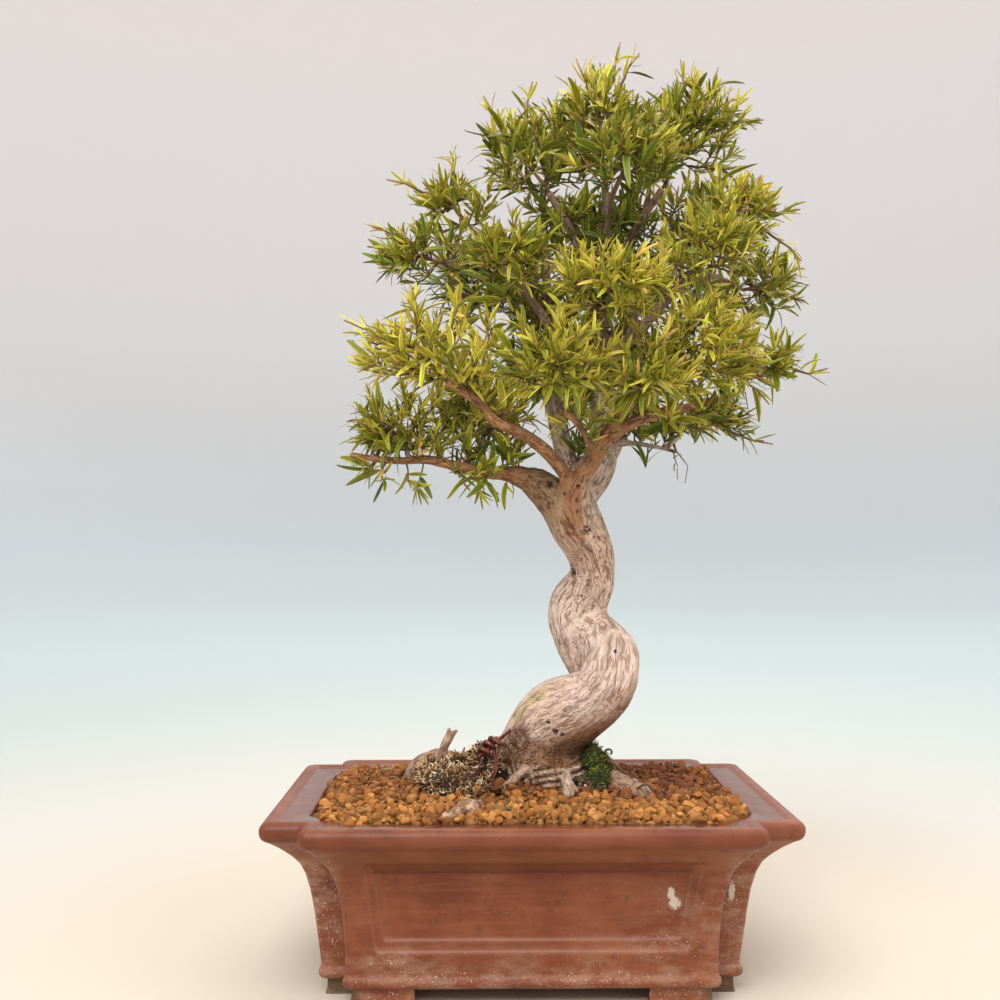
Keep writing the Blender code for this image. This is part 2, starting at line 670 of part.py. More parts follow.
def leaf_faces(stations):
    """The faces of a blade: fans at its root and tip, and a wall between two stations."""
    tip = 3 * stations + 1
    faces = []
    for a, b in ((1, 2), (2, 3), (3, 1)):
        faces += [(0, a, b), (tip, tip - 4 + b, tip - 4 + a)]
        for k in range(stations - 1):
            faces += [(a + 3 * k, a + 3 * k + 3, b + 3 * k + 3), (a + 3 * k, b + 3 * k + 3, b + 3 * k)]
    return faces


def grow_leaves(pad, stem, branchlets, space, rng):
    """The blades of a spray, each leaving through the middle of a face of the stem that it is on."""
    rails = [(frames_of(rows), BRANCHLET_SIDES) for rows in branchlets] + [(frames_of(stem), STEM_SIDES)]
    centre = np.asarray(PADS[pad][0], float)
    blades = []
    for attempt in range(LEAF_TRIES):
        if len(blades) == LEAVES_PER_SPRAY:
            break
        (rail, along, right, up), sides = rails[attempt % len(rails)]
        step = attempt // len(rails)
        first, spacing, scatter = BLADE_PLACES
        share = first - spacing * (step % BLADE_ROWS) - scatter * rng.random()
        place = share * (len(rail) - 1)
        i = min(int(place), len(rail) - 2)
        foot = rail[i] + (rail[i + 1] - rail[i]) * (place - i)
        angle = (step + 0.5) * 2 * math.pi / sides
        outward = (foot - centre) / (np.linalg.norm(foot - centre) + 1e-6)
        away = right[i] * math.cos(angle) + up[i] * math.sin(angle)
        way = along[i] * (0.55 + 0.35 * rng.random()) + away
        way /= np.linalg.norm(way)
        length = LEAF_LENGTH[0] + (LEAF_LENGTH[1] - LEAF_LENGTH[0]) * rng.random()
        width = LEAF_WIDTH[0] + (LEAF_WIDTH[1] - LEAF_WIDTH[0]) * rng.random()
        face = np.array((0.2 * rng.random(), 0.2 * rng.random(), 1.0)) + 0.5 * outward
        if abs(way.dot(face) / np.linalg.norm(face)) > STEEPEST_BLADE:
            face = along[i]
        points = leaf_points(foot, way, face, length, width, PLAIN_BLADE if step % 2 else FULL_BLADE)
        middle, tip = sum(points[-4:-1]) / 3, points[-1]
        near = foot + way * BLADE_FOOT
        if not space.clear(pad, foot + way, middle, width / 2):
            continue
        if not space.clear(pad, middle, tip, width / 3):
            continue
        if blades and not clear_of_blades(near, middle, tip, blades):
            continue
        blades.append((near, middle, tip, points))
    for near, middle, tip, points in blades:
        space.take(pad, points[0], middle, LEAF_WIDTH[1] / 2)
        space.take(pad, middle, tip, LEAF_WIDTH[1] / 3)
    return [points for near, middle, tip, points in blades]


def frames_of(rows):
    """The last three points of a tube, with the directions that tube() gives its rings there."""
    points = np.asarray(rows, float)[:, :3]
    return tuple(values[-3:] for values in (points, *frames(points)))


def clear_of_blades(near, middle, tip, blades):
    """True where a new blade keeps a few millimetres from the spray's other blades past their feet."""
    starts = np.array([blade[1] for blade in blades])
    ends = np.array([blade[2] for blade in blades])
    if segment_distances(middle, tip, starts, ends).min() < BLADE_SPACING:
        return False
    starts = np.array([blade[0] for blade in blades])
    ends = np.array([blade[1] for blade in blades])
    return segment_distances(near, middle, starts, ends).min() > BLADE_FOOT_SPACING


def foliage():
    """One node for each spray: stem, branchlets and blades fused."""
    space = Space()
    for rows in [TRUNK, MIDDLE_TRUNK, UPPER_TRUNK, *LIMBS.values()]:
        for a, b in zip(rows[:-1], rows[1:]):
            space.take("wood", np.array(a[:3], float), np.array(b[:3], float), max(a[3], b[3]))
    for pad in PADS:
        if PADS[pad][3] < 1.0:
            rows = carrying_twig(pad)
            for a, b in zip(rows[:-1], rows[1:]):
                space.take("wood", np.array(a[:3]), np.array(b[:3]), a[3])
    rng = random.Random(11)
    skeletons = {pad: grow_stem(pad, space, rng) for pad in PADS}
    made = []
    for pad, (stem, branchlets) in skeletons.items():
        blades = grow_leaves(pad, stem, branchlets, space, rng)
        piece = tube("spray_" + pad, stem, STEM_SIDES, "leaf")
        others = [tube("branchlet", rows, BRANCHLET_SIDES, "leaf") for rows in branchlets]
        for points in blades:
            others.append(solid("blade", [p * MM for p in points], leaf_faces(len(points) // 3), "leaf"))
        combine(piece, others, "UNION")
        made.append(piece)
    return made


def lump(name, centre, size, seed, colour, grow=0.0):
    """A bumpy cushion of moss: a ball stretched to its size, with seeded bumps."""
    work = bmesh.new()
    bmesh.ops.create_icosphere(work, subdivisions=1, radius=1.0)
    rng = random.Random(seed)
    for point in work.verts:
        bump = 1 + MOSS_BUMP * (rng.random() - 0.5) * 2
        point.co = Vector([c * MM + p * (s * MM * bump + grow) for c, s, p in zip(centre, size, point.co)])
    mesh = bpy.data.meshes.new(name)
    work.to_mesh(mesh)
    work.free()
    mesh.materials.append(material(colour))
    piece = bpy.data.objects.new(name, mesh)
    bpy.context.scene.collection.objects.link(piece)
    return piece


def mosses():
    """The green moss cushion and the dry moss, cut back where the wood and the wires pass."""
    made = []
    for name, (centre, size), seed, colour in (
        ("green_moss", GREEN_MOSS, 3, "green_moss"), ("dry_moss", DRY_MOSS, 5, "dry_moss"),
    ):
        piece = lump(name, centre, size, seed, colour)
        cutters = wood_tubes(colour, SEAT_GAP, buried_only=True)
        cutters += [tube("wire", rows, WIRE_SIDES, colour, 1, SEAT_GAP) for rows in (TIE_WIRE, WIRE_END)]
        combine(piece, cutters, "DIFFERENCE")
        made.append(piece)
    return made


def soil_height(x, y, rng):
    """The soil's surface: a low mound round the trunk, roughened by grains."""
    distance = math.hypot(x - TRUNK[2][0] * MM, y - TRUNK[2][1] * MM)
    mound = SOIL_RISE * math.exp(-(distance / SOIL_RISE_RADIUS) ** 2)
    return SOIL_EDGE_Z + mound + GRAIN_HEIGHT * (rng.random() - 0.5) * 2


def soil():
    """The soil: a block with a grainy top, cut to the inside of the pot, with holes where things stand."""
    margin = INNER_PROFILE[0][1] * MM - SOIL_MARGIN
    half_x, half_y = RIM_HALF_WIDTH - margin, RIM_HALF_DEPTH - margin
    columns, rows = round(2 * half_x / SOIL_CELL), round(2 * half_y / SOIL_CELL)
    rng = random.Random(7)
    top = []
    for j in range(rows + 1):
        for i in range(columns + 1):
            x, y = -half_x + 2 * half_x * i / columns, -half_y + 2 * half_y * j / rows
            x += (rng.random() - 0.5) * SOIL_CELL * 0.5 * (0 < i < columns)
            y += (rng.random() - 0.5) * SOIL_CELL * 0.5 * (0 < j < rows)
            top.append((x, y, soil_height(x, y, rng)))
    wide = columns + 1
    faces = []
    for j in range(rows):
        for i in range(columns):
            a = j * wide + i
            if (i + j) % 2:
                faces += [(a, a + 1, a + wide + 1), (a, a + wide + 1, a + wide)]
            else:
                faces += [(a, a + 1, a + wide), (a + 1, a + wide + 1, a + wide)]
    rim = [i for i in range(wide)] + [j * wide + columns for j in range(1, rows + 1)]
    rim += [rows * wide + i for i in range(columns - 1, -1, -1)]
    rim += [j * wide for j in range(rows - 1, 0, -1)]
    low = len(top)
    points = top + [(top[k][0], top[k][1], FLOOR_Z / 4) for k in rim]
    count = len(rim)
    for k in range(count):
        faces.append((rim[k], rim[(k + 1) % count], low + (k + 1) % count, low + k))
    faces.append(tuple(low + k for k in range(count)))
    block = solid("soil", points, faces, "soil")
    room = [chamfered(inset * MM + GAP, c * MM, z * MM) for z, inset, c in INNER_PROFILE]
    for row, level in ((0, RIM_Z + 2 * SOIL_MARGIN), (-1, FLOOR_Z + SCREEN_THICKNESS + 2 * GAP)):
        z, inset, c = INNER_PROFILE[row]
        room[row] = chamfered(inset * MM + GAP, c * MM, level)
    combine(block, [loft("room", room, "soil")], "INTERSECT")
    cutters = wood_tubes("soil", SEAT_GAP, buried_only=True)
    cutters += [tube("wire", path, WIRE_SIDES, "soil", 1, SEAT_GAP) for path in (TIE_WIRE, WIRE_END)]
    cutters.append(lump("moss", *GREEN_MOSS, 3, "soil", SEAT_GAP))
    cutters.append(lump("moss", *DRY_MOSS, 5, "soil", SEAT_GAP))
    combine(block, cutters, "DIFFERENCE")
    return block


def wood():
    """Roots, trunk, limbs and carrying twigs, fused into one piece."""
    tubes = wood_tubes("bark", 0.0)
    combine(tubes[0], tubes[1:], "UNION")
    tubes[0].name = "wood"
    return tubes[0]


def wires():
    """The twisted tie wire and the small wire end, both rooted in the soil."""
    return [tube("tie_wire", TIE_WIRE, WIRE_SIDES, "tie_wire"),
            tube("wire_end", WIRE_END, WIRE_SIDES, "dark_wire")]


def main():
    for old in list(bpy.data.objects):
        bpy.data.objects.remove(old)
    pieces = [pot(), *screens(), soil(), wood(), *mosses(), *wires(), *foliage()]
    for piece in pieces:
        piece.data.shade_smooth()
        piece.data.set_sharp_from_angle(angle=math.radians(35))
        piece.location = (POT_X, POT_Y, 0)


main()
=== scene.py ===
"""The looks of a willow leaf fig bonsai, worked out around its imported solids.

Lengths in the tables are millimetres, measured from the pot's centre at the height of the surface that it
stands on, as in the solids' own source. The frame, the meshes and the materials are in metres.
"""

import functools
import itertools
import math

import bmesh
import bpy
import numpy as np
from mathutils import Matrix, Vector
from mathutils.bvhtree import BVHTree


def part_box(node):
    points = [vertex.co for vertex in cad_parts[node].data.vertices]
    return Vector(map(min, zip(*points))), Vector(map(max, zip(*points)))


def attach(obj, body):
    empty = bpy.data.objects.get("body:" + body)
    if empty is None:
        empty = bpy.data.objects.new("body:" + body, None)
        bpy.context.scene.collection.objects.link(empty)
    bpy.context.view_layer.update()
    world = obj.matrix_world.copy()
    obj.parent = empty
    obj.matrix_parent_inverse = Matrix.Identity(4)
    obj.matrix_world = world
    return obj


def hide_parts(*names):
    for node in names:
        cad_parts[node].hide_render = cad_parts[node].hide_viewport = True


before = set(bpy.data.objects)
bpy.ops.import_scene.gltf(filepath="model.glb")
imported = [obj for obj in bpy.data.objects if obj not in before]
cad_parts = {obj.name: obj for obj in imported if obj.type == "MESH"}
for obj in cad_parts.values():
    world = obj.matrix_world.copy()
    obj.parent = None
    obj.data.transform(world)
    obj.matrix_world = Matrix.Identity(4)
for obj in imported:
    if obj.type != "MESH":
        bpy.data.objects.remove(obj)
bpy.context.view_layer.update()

MM = 0.001
POT_LOW, POT_HIGH = (np.array(corner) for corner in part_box("pot"))
POT_MIDDLE = np.array([(POT_LOW[0] + POT_HIGH[0]) / 2, (POT_LOW[1] + POT_HIGH[1]) / 2, 0.0])

# The photograph's camera, from the pot's centre, in metres and degrees
CAMERA_PLACE = np.array([-0.031, -0.870, 0.280])
CAMERA_UP = 1.97
CAMERA_RIGHT = 0.83
CAMERA_LENS = 45.72
CAMERA_SENSOR = 36.0

# Pot, in millimetres: half sizes of the rim, how deep and how wide its corners are stepped in
RIM_HALF_WIDTH = 165.0
RIM_HALF_DEPTH = 125.0
NOTCH_DEPTH = 20.0
NOTCH_WIDTHS = [(9.5, 17), (18, 17), (38, 19), (59, 20), (77, 20.5), (84.5, 21), (90, 22), (96, 24), (100.5, 26)]
CORNER_RADII = [(9.5, 2.2), (18, 3.0), (80, 3.2), (100, 5.0), (113, 4.6)]
HOLLOW_RADII = [(9.5, 2.0), (80, 4.0), (100, 3.2), (113, 3.0)]
# Height and how far the surface stands in from the rim's edge, from the underside up and over the rim
BASE_MOULDING = [(9.5, 37.4), (9.7, 36.0), (10.6, 34.4), (12.2, 33.2), (14.2, 32.7), (15.8, 33.0), (17.2, 33.9)]
WALL = [(18.3, 34.5), (26, 33.6), (38, 32.2), (52, 30.5), (66, 28.2), (77, 25.4), (84.5, 22), (90, 17), (95, 11.6),
        (98.6, 7.0), (100.4, 4.4)]
LIP = [(101.2, 2.9), (102.4, 1.7), (104.2, 0.8), (106.6, 0.35), (109.0, 0.45), (110.9, 1.4), (112.2, 3.0),
       (112.9, 5.0), (112.8, 6.8), (112.3, 8.2), (111.6, 9.3)]
LEDGE = [(111.2, 10.2), (111.3, 11.6), (111.3, 15.0)]
INNER_EDGE = [(111.2, 25.6, 27.6), (110.7, 26.7, 27.9), (109.6, 27.4, 28.0)]
INNER_WALL = [(107, 28, 28), (98, 30, 36), (84, 33, 46), (18, 46, 47)]
CHAMFER_BOW = 0.45
FLOOR_Z = 18.0
UNDERSIDE_Z = 9.5
DRAIN_X = 62.0
DRAIN_RADIUS = 12.5
# Panels pressed into the front and back: half width at the top and bottom, lowest and highest edge
FRONT_PANELS = [(102.0, 95.0, 33.0, 89.0), (96.0, 90.0, 40.0, 83.0)]
SIDE_PANEL = (64.0, 58.0, 33.0, 89.0)
PANEL_STEP = 1.3
PANEL_EDGE = 0.7
# Columns of a quarter outline: along the side, round each of its three corners and along the front
SIDE_COLUMNS = (4, 2, 4)
CORNER_COLUMNS = 6
FRONT_COLUMNS = (4, 2, 2, 2, 10)
# Between these heights the wall is finely divided for its panels
PANELLED = (20, 95)
FOOT_LENGTH = 39.0
FOOT_WIDTH = 13.0
FOOT_INSET = 37.8
FOOT_NOTCH = 17.0

# Soil
GRAIN_SPACING = 4.1
GRAIN_RADIUS = (1.3, 3.75)
SOIL_HALF_WIDTH = 136.0
SOIL_HALF_DEPTH = 96.0
SOIL_CORNER = 212.0
# The soil's usual height, and the least that is taken for soil
SOIL_LEVEL, SOIL_LOWEST = 111.0, 90.0
GREENED_GRAINS = (-16, -70)
# Granules heap up against the left of the trunk's foot: middle, reach each way and height
HEAP = ((-17, -23), (17, 11), 6.5)
CRUMB_COUNT, CRUMB_AREA = 330, ((29, 64), (-28, -7))
# Colours of dry and damp granules, crumbs and straws, each from one tone to another
DRY_GRAINS = np.array([(0.35, 0.125, 0.019), (0.57, 0.262, 0.064)])
WET_GRAINS = np.array([(0.120, 0.032, 0.006), (0.245, 0.076, 0.015)])
CRUMB_TONES = np.array([(0.035, 0.018, 0.010), (0.17, 0.085, 0.040)])
STRAW_TONES = np.array([(0.60, 0.48, 0.30), (0.15, 0.08, 0.04)])
STRAW_COUNT, STRAW_AREA, STRAW_LOWEST = 34, ((-118, 118), (-84, 78)), 100.0
# Two thin roots beside the right lobe and one by the knob: x, y, z and radius
THIN_ROOTS = [
    [(54, -2, 133, 0.9), (59, -6, 131, 0.9), (64, -8, 127, 0.8), (71, -9, 122, 0.7), (74, -10, 116, 0.6)],
    [(73, -18, 117, 0.8), (78, -21, 120, 0.8), (82, -22, 117, 0.8), (84, -23, 111, 0.8)],
    [(-36, -36, 114, 1.0), (-33, -30, 118, 0.9), (-27, -26, 120, 0.8), (-22, -24, 117, 0.8)],
]

# Wood: x, y, z and radius
TRUNK = [
    (15, 24, 98, 36), (15, 24, 106, 36), (14, 22, 123, 34), (13, 18, 141, 30), (20, 10, 158, 27),
    (36, -1, 168.5, 23), (49, -6, 179.5, 20.5), (56, -9, 192.5, 18.7), (58.5, -5, 203, 16),
]
MIDDLE_TRUNK = [
    (52, -8, 186, 13), (56, 0, 201, 18.5), (53, 13, 211, 18), (45, 26, 217, 18), (37, 34, 222, 15),
]
UPPER_TRUNK = [
    (45, 27, 186, 10), (43, 29, 197, 15), (40, 31, 207, 17.5), (39, 32, 217, 19.5), (38, 33, 229, 20.5),
    (40, 31, 240, 19.5), (46, 22, 253, 16.3), (47, 16, 267, 15.5), (43, 12, 278, 16.5), (35, 10, 291, 18),
    (31, 11, 304, 17), (33, 12, 316, 12),
]
ROOTS = {
    "right_lobe": [(30, 20, 112, 17), (50, 11, 115, 12), (63, -2, 114.5, 9.5), (74, -11, 112.5, 7.5),
        (82, -21, 105, 5)],
    "front_root": [(25, -4, 128, 1.5), (26, -11, 125, 1.8), (26, -16, 119, 2.8), (25.5, -20, 113, 4.0),
        (24.5, -24, 103, 5.5)],
    "front_root_fork": [(26, -14, 121, 2.2), (30, -17, 117, 2.3), (33, -20, 112, 2.6), (35, -22, 104, 3)],
    "front_knob": [(4, 0, 126, 7), (-3, -11, 127, 3.2), (-8, -14, 123.5, 2.8), (-12.5, -15.5, 119.5, 2.9),
        (-15.5, -16, 116.5, 3.4), (-14, -10, 110, 4)],
    "left_lobe": [(8, 24, 112, 20), (-24, 28, 117, 14), (-42, 33, 115, 13), (-57, 39, 118, 15.5), (-67, 44, 117, 15),
        (-75, 48, 110, 12), (-79, 51, 99, 7)],
    "dead_stub": [(-60, 31, 121, 6), (-58.5, 30, 132, 3.2), (-57, 29, 138, 2.8), (-54.5, 28, 143.5, 2.2),
        (-54, 28, 150, 0.9)],
    "dead_fork": [(-54.5, 28, 142, 1.9), (-51.5, 28, 145.5, 1.4), (-48, 27, 149.5, 0.8)],
    "dead_spur": [(-46, 28, 123, 3), (-47, 26, 130, 1.7), (-48.5, 25, 134.5, 0.7)],
    "gnarled_root": [(0, 0, 99, 8), (-20, -26, 101, 5), (-31, -45, 109, 3.8), (-35, -54, 112, 5.0),
        (-40, -64, 112.5, 6.6), (-45, -73, 111, 5.6), (-52, -83, 111, 3.3), (-57, -91, 106, 2.6)],
}
LIMBS = {
    "left_shoulder": [(30, 11, 300, 15), (15, 8, 315, 12.5), (5, 4, 322.5, 10), (-6, 0, 326.5, 7.5),
        (-16, -3, 328, 5.2), (-37, -7, 330, 4.2), (-54, -9, 334, 3.4), (-69, -11, 337, 3.0), (-84, -13, 336, 2.6),
        (-102, -14, 337, 2.1), (-119, -14, 340, 1.7)],
    "front_left": [(33, 4, 308, 6.5), (27, -6, 325, 5.0), (18, -13, 337, 4.6), (0, -25, 351, 4.0),
        (-22, -35, 361, 3.7), (-32, -40, 372, 3.4), (-53, -48, 385, 2.6)],
    "front_right": [(32, 4, 307, 9), (35, -8, 322, 6.8), (45, -18, 338, 5.8), (57, -30, 360, 4.6),
        (68, -40, 375, 3.9), (84, -51, 388, 3.0)],
    "front_mid": [(46, -19, 341, 2.6), (38, -28, 352, 2.1), (30, -40, 361, 2.2), (21, -55, 365, 1.9)],
    "leader": [(32, 12, 298, 13), (37, 17, 312, 11.5), (50, 25, 333, 13), (60, 37, 360, 11.5), (55, 46, 391, 9.5),
        (53, 46, 424, 7.4), (57, 40, 456, 5.5), (58, 36, 483, 4.4), (58, 26, 530, 3)],
    "pale_back": [(38, 22, 316, 10), (32, 38, 336, 8), (26, 46, 358, 7), (20, 45, 388, 5.2), (17, 37, 434, 3.8),
        (15, 29, 472, 3.2), (13, 34, 516, 2.6)],
    "crown_left": [(54, 45, 424, 5), (47, 34, 455, 3.8), (34, 19, 495, 2.9), (16, 6, 524, 2.4)],
    "crown_right": [(55, 44, 434, 5), (66, 44, 472, 3.6), (80, 38, 506, 3), (97, 26, 532, 2.5)],
    "right_up": [(55, 45, 400, 5), (69, 30, 420, 4.2), (95, 4, 446, 3.4), (121, -14, 472, 2.6)],
    "right_back": [(58, 46, 424, 4), (80, 52, 449, 3), (99, 56, 468, 2.6), (117, 60, 492, 2.3)],
    "left_up": [(51, 44, 393, 5), (29, 30, 419, 3.8), (4, 11, 449, 3), (-28, -6, 484, 2.3)],
    "right_low": [(54, -27, 352, 4.6), (79, -22, 365, 3.8), (108, -14, 372, 3.2), (134, -4, 380, 2.5)],
    "right_lowest": [(59, 32, 351, 4), (74, 24, 351, 2.0), (90, 16, 348, 1.5), (104, 10, 344, 1.3)],
}
# How many of a limb's first points are blended into the trunk
BLENDED_STARTS = {"left_shoulder": 4, "front_left": 3, "front_right": 3, "leader": 4, "pale_back": 3}
RED_LIMBS = ("front_left", "front_right", "front_mid", "right_low")
WOOD_CELL = 1.2
WOOD_BLEND = 1.7
# Knots and branch scars on the trunk: place, radius and how sunken they are
KNOTS = [
    ((16, -5, 321), 2.8, 0.5), ((34, -14, 318), 1.3, 0.4), ((26, -6, 314), 0.9, 0.4), ((40, -3, 290), 2.6, 0.1),
    ((25, 10, 260), 1.1, 0.4), ((38, 10, 244), 1.3, 0.4), ((14, -16, 161), 1.1, 0.4), ((18.5, -17, 155), 1.6, 0.5),
    ((23, -17, 153), 1.3, 0.4), ((39.5, 6, 202), 2.4, 0.5), ((58, -20, 207), 0.9, 0.3), ((66, 60, 180), 2.0, 0.5),
    ((20, 70, 140), 2.2, 0.5), ((17, 60, 290), 1.7, 0.5),
]
# Torn, yellowed bark runs along the top of the trunk's lowest bend
TORN = np.array([(-10, 3, 163), (-2, 0, 173), (9, -4, 181)], float)
# Regions on the trunk, as middle and reach: the crease where it is pressed against itself, and a red scar
CREASE = ((43, -4, 199), (22, 20, 22))
RED_SCAR_PLACE = ((-6, -9, 149), (12, 20, 16))
TRUNK_TUBES = 3
# How far outside a tube its distance is still worked out, and the distance that stands for further off
TUBE_MARGIN = 14
FAR = 60.0
# How much further the grain starts on each next tube, and a knot value that lies clear of every knot
TUBE_STEP = 40.0
NO_KNOT = 3.0

# Foliage: centre, half sizes, the limb that carries it, how far along, how yellow it is
PADS = {
    "top_left": [(-5, -4, 549), (30, 30, 34), "crown_left", 1.0, 0.5],
    "top_middle": [(51, 2, 575), (38, 34, 36), "leader", 1.0, 0.55],
    "top_right": [(117, 0, 568), (40, 34, 40), "crown_right", 1.0, 0.5],
    "top_front": [(62, -58, 530), (38, 32, 28), "leader", 0.86, 0.25],
    "top_back": [(88, 62, 580), (40, 36, 34), "crown_right", 0.78, 0.35],
    "top_back_left": [(20, 58, 570), (38, 34, 36), "pale_back", 1.0, 0.35],
    "right_high": [(146, -12, 508), (34, 32, 30), "right_up", 1.0, 0.75],
    "right_side": [(168, 24, 461), (28, 32, 30), "right_up", 0.8, 0.35],
    "right_high_back": [(134, 68, 522), (36, 36, 32), "right_back", 1.0, 0.3],
    "right_front": [(112, -60, 402), (44, 36, 38), "front_right", 1.0, 0.75],
    "right_tip": [(164, -6, 402), (30, 28, 22), "right_low", 1.0, 0.55],
    "right_low_pad": [(120, 16, 366), (40, 32, 22), "right_lowest", 0.8, 0.3],
    "right_back_pad": [(134, 92, 462), (36, 34, 36), "right_back", 0.72, 0.15],
    "right_front_high": [(118, -66, 468), (36, 30, 30), "right_up", 0.62, 0.6],
    "left_high": [(-52, 0, 514), (27, 30, 23), "left_up", 1.0, 0.55],
    "left_middle": [(-74, -12, 475), (34, 34, 26), "left_up", 0.8, 0.45],
    "left_front": [(-70, -52, 402), (48, 34, 35), "front_left", 1.0, 0.95],
    "left_low": [(-90, -6, 356), (38, 34, 30), "left_shoulder", 0.74, 0.5],
    "left_inner": [(-34, 28, 372), (42, 36, 32), "left_shoulder", 0.40, 0.35],
    "left_back": [(-36, 72, 474), (38, 38, 40), "pale_back", 0.6, 0.15],
    "front_high": [(48, -92, 440), (46, 34, 28), "right_up", 0.3, 0.8],
    "front_left_middle": [(14, -100, 388), (38, 32, 30), "front_mid", 1.0, 0.6],
    "front_right_middle": [(72, -86, 380), (32, 30, 24), "front_right", 0.8, 0.6],
    "back_high": [(58, 100, 520), (44, 36, 34), "leader", 0.72, 0.15],
    "back_left": [(20, 92, 412), (42, 36, 42), "pale_back", 0.35, 0.1],
    "back_right": [(90, 104, 416), (44, 36, 38), "leader", 0.5, 0.1],
    "front_left_high": [(-14, -66, 462), (36, 32, 28), "left_up", 0.55, 0.45],
}
SHOOT_AREA = 100.0
LEAVES_PER_SHOOT, LEAVES_PER_WHIP, LEAVES_PER_LIMB_SHOOT = 16, 9, 13
SHOOT_TO_EDGE = 15.0
CROWN_MIDDLE = np.array([45.0, 10.0, 440.0])
UP = np.array([0, 0, 1.0])
INFILL = 17.0
GOLDEN_ANGLE = 137.5
FULL_TURN = 6.28
# Lengths of large, middling and small leaves, their widths (a large leaf's as a share of its length) and how many
# sections make their blades
LARGE_LEAF, LEAF, SMALL_LEAF = (15, 24), (10.5, 18.0), (6.0, 12.0)
LARGE_SHARE, LEAF_WIDTH, SMALL_WIDTH = (0.17, 0.24), (1.7, 2.9), (1.2, 2.1)
LEAF_SECTIONS = (5, 4, 2)
# Long whips past each pad: their tips
WHIPS = {
    "top_middle": [(65, 0, 628), (34, -6, 614), (79, 4, 622), (52, 12, 618)], "top_left": [(4, 0, 600),
    (-30, 6, 592)], "top_right": [(107, 0, 616), (163, 0, 572), (132, 10, 604)], "left_high": [(-53, 0, 551),
    (-96, -4, 530)], "left_middle": [(-106, -4, 497), (-110, 6, 486)], "left_front": [(-122, -30, 428)],
    "left_low": [(-121, 10, 366)], "right_high": [(190, 0, 476), (186, -14, 508)], "right_side": [(197, 20, 452)],
    "right_tip": [(206, -6, 400), (191, 4, 416)], "right_low_pad": [(170, 4, 349)], "right_front": [(158, -40, 372)],
    "back_high": [(60, 144, 540)], "back_right": [(100, 148, 424)], "back_left": [(4, 132, 436)],
}
# Shoots straight from a limb: the pad whose piece they join, the limb, from and to which share of it, how many,
# how far they stand out, how much they droop and what share of their leaves is old
LIMB_SHOOTS = [
    ("left_inner", "left_shoulder", 0.30, 0.58, 18, 24, 0.05, 0.08),
    ("left_low", "left_shoulder", 0.55, 0.92, 16, 18, 0.0, 0.05),
    ("right_low_pad", "right_lowest", 0.2, 0.9, 8, 16, -0.2, 0.20),
    ("front_left_middle", "front_left", 0.50, 0.95, 8, 15, -0.3, 0.30),
    ("front_left_middle", "front_mid", 0.25, 1.0, 7, 12, 0.1, 0.20),
    ("back_high", "leader", 0.45, 0.95, 26, 30, 0.0, 0.20),
    ("back_right", "leader", 0.30, 0.55, 12, 26, 0.0, 0.20),
    ("left_back", "pale_back", 0.45, 1.0, 22, 30, 0.0, 0.20),
    ("back_left", "pale_back", 0.12, 0.7, 26, 26, 0.0, 0.25),
    ("left_middle", "left_up", 0.30, 0.95, 16, 20, 0.0, 0.10),
    ("top_left", "crown_left", 0.2, 0.95, 22, 24, 0.0, 0.10),
    ("right_high", "right_up", 0.35, 1.0, 14, 20, 0.0, 0.10),
    ("right_high_back", "right_back", 0.2, 1.0, 16, 24, 0.0, 0.15),
    ("top_right", "crown_right", 0.2, 0.95, 20, 22, 0.0, 0.10),
    ("front_left_high", "left_up", 0.15, 0.7, 12, 24, 0.0, 0.15),
    ("left_front", "front_left", 0.62, 1.0, 14, 18, -0.2, 0.10),
    ("right_front", "front_right", 0.6, 1.0, 12, 18, -0.1, 0.10),
    ("right_tip", "right_low", 0.2, 1.0, 14, 18, 0.0, 0.15),
]
# Tufts of large leaves that hang below a limb: the pad whose piece they join, where each leaves the limb, its tip
HANGING_TUFTS = [
    ("left_low", (-102, -14, 336), (-106, -16, 327), 4), ("left_low", (-70, -12, 336), (-74, -14, 318), 5),
    ("left_inner", (-30, -6, 329), (-26, -11, 320), 5), ("left_inner", (-44, -8, 331), (-43, -13, 322), 3),
    ("left_inner", (-14, -4, 326), (-14, -10, 320), 2), ("right_low_pad", (101, 10, 345), (105, 8, 334), 3),
]
WHISKERS = [((104, 10, 345), (112, 7, 334), (110, 7, 322)), ((150, -4, 384), (152, -6, 368), (151, -6, 360)),
            ((-10, -4, 322), (-9, -5, 316), (-10, -5, 311))]

# Moss: centres and half sizes of its cushions, and its strands' tones from dark to light
GREEN_CUSHIONS = [
    ((50, 20, 121), (10, 14, 15)), ((44, -1, 134), (7, 9, 11)), ((48, -8, 121), (8, 6, 9)),
    ((51, 4, 127), (7.5, 9, 10)),
]
DRY_CUSHIONS = [
    ((-47, -1, 116), (29, 24, 15)), ((-64, 20, 117), (15, 14, 12)), ((-29, -1, 130), (12, 11, 14)),
    ((-42, 9, 127), (15, 11, 9)), ((-44, -12, 113), (18, 12, 11)),
]

GREEN_TONES = np.array([(0.035, 0.024, 0.008), (0.12, 0.075, 0.025), (0.055, 0.062, 0.006), (0.095, 0.115, 0.006),
                        (0.17, 0.20, 0.007), (0.36, 0.34, 0.020)])
# The dry moss's near-black tone is painted shade in the gaps between strands, and its palest tone is partly painted
# highlight
DRY_TONES = np.array([(0.050, 0.020, 0.010), (0.16, 0.062, 0.026), (0.42, 0.195, 0.080), (0.26, 0.175, 0.066),
                      (0.66, 0.390, 0.185), (0.78, 0.520, 0.270), (0.95, 0.79, 0.53)])

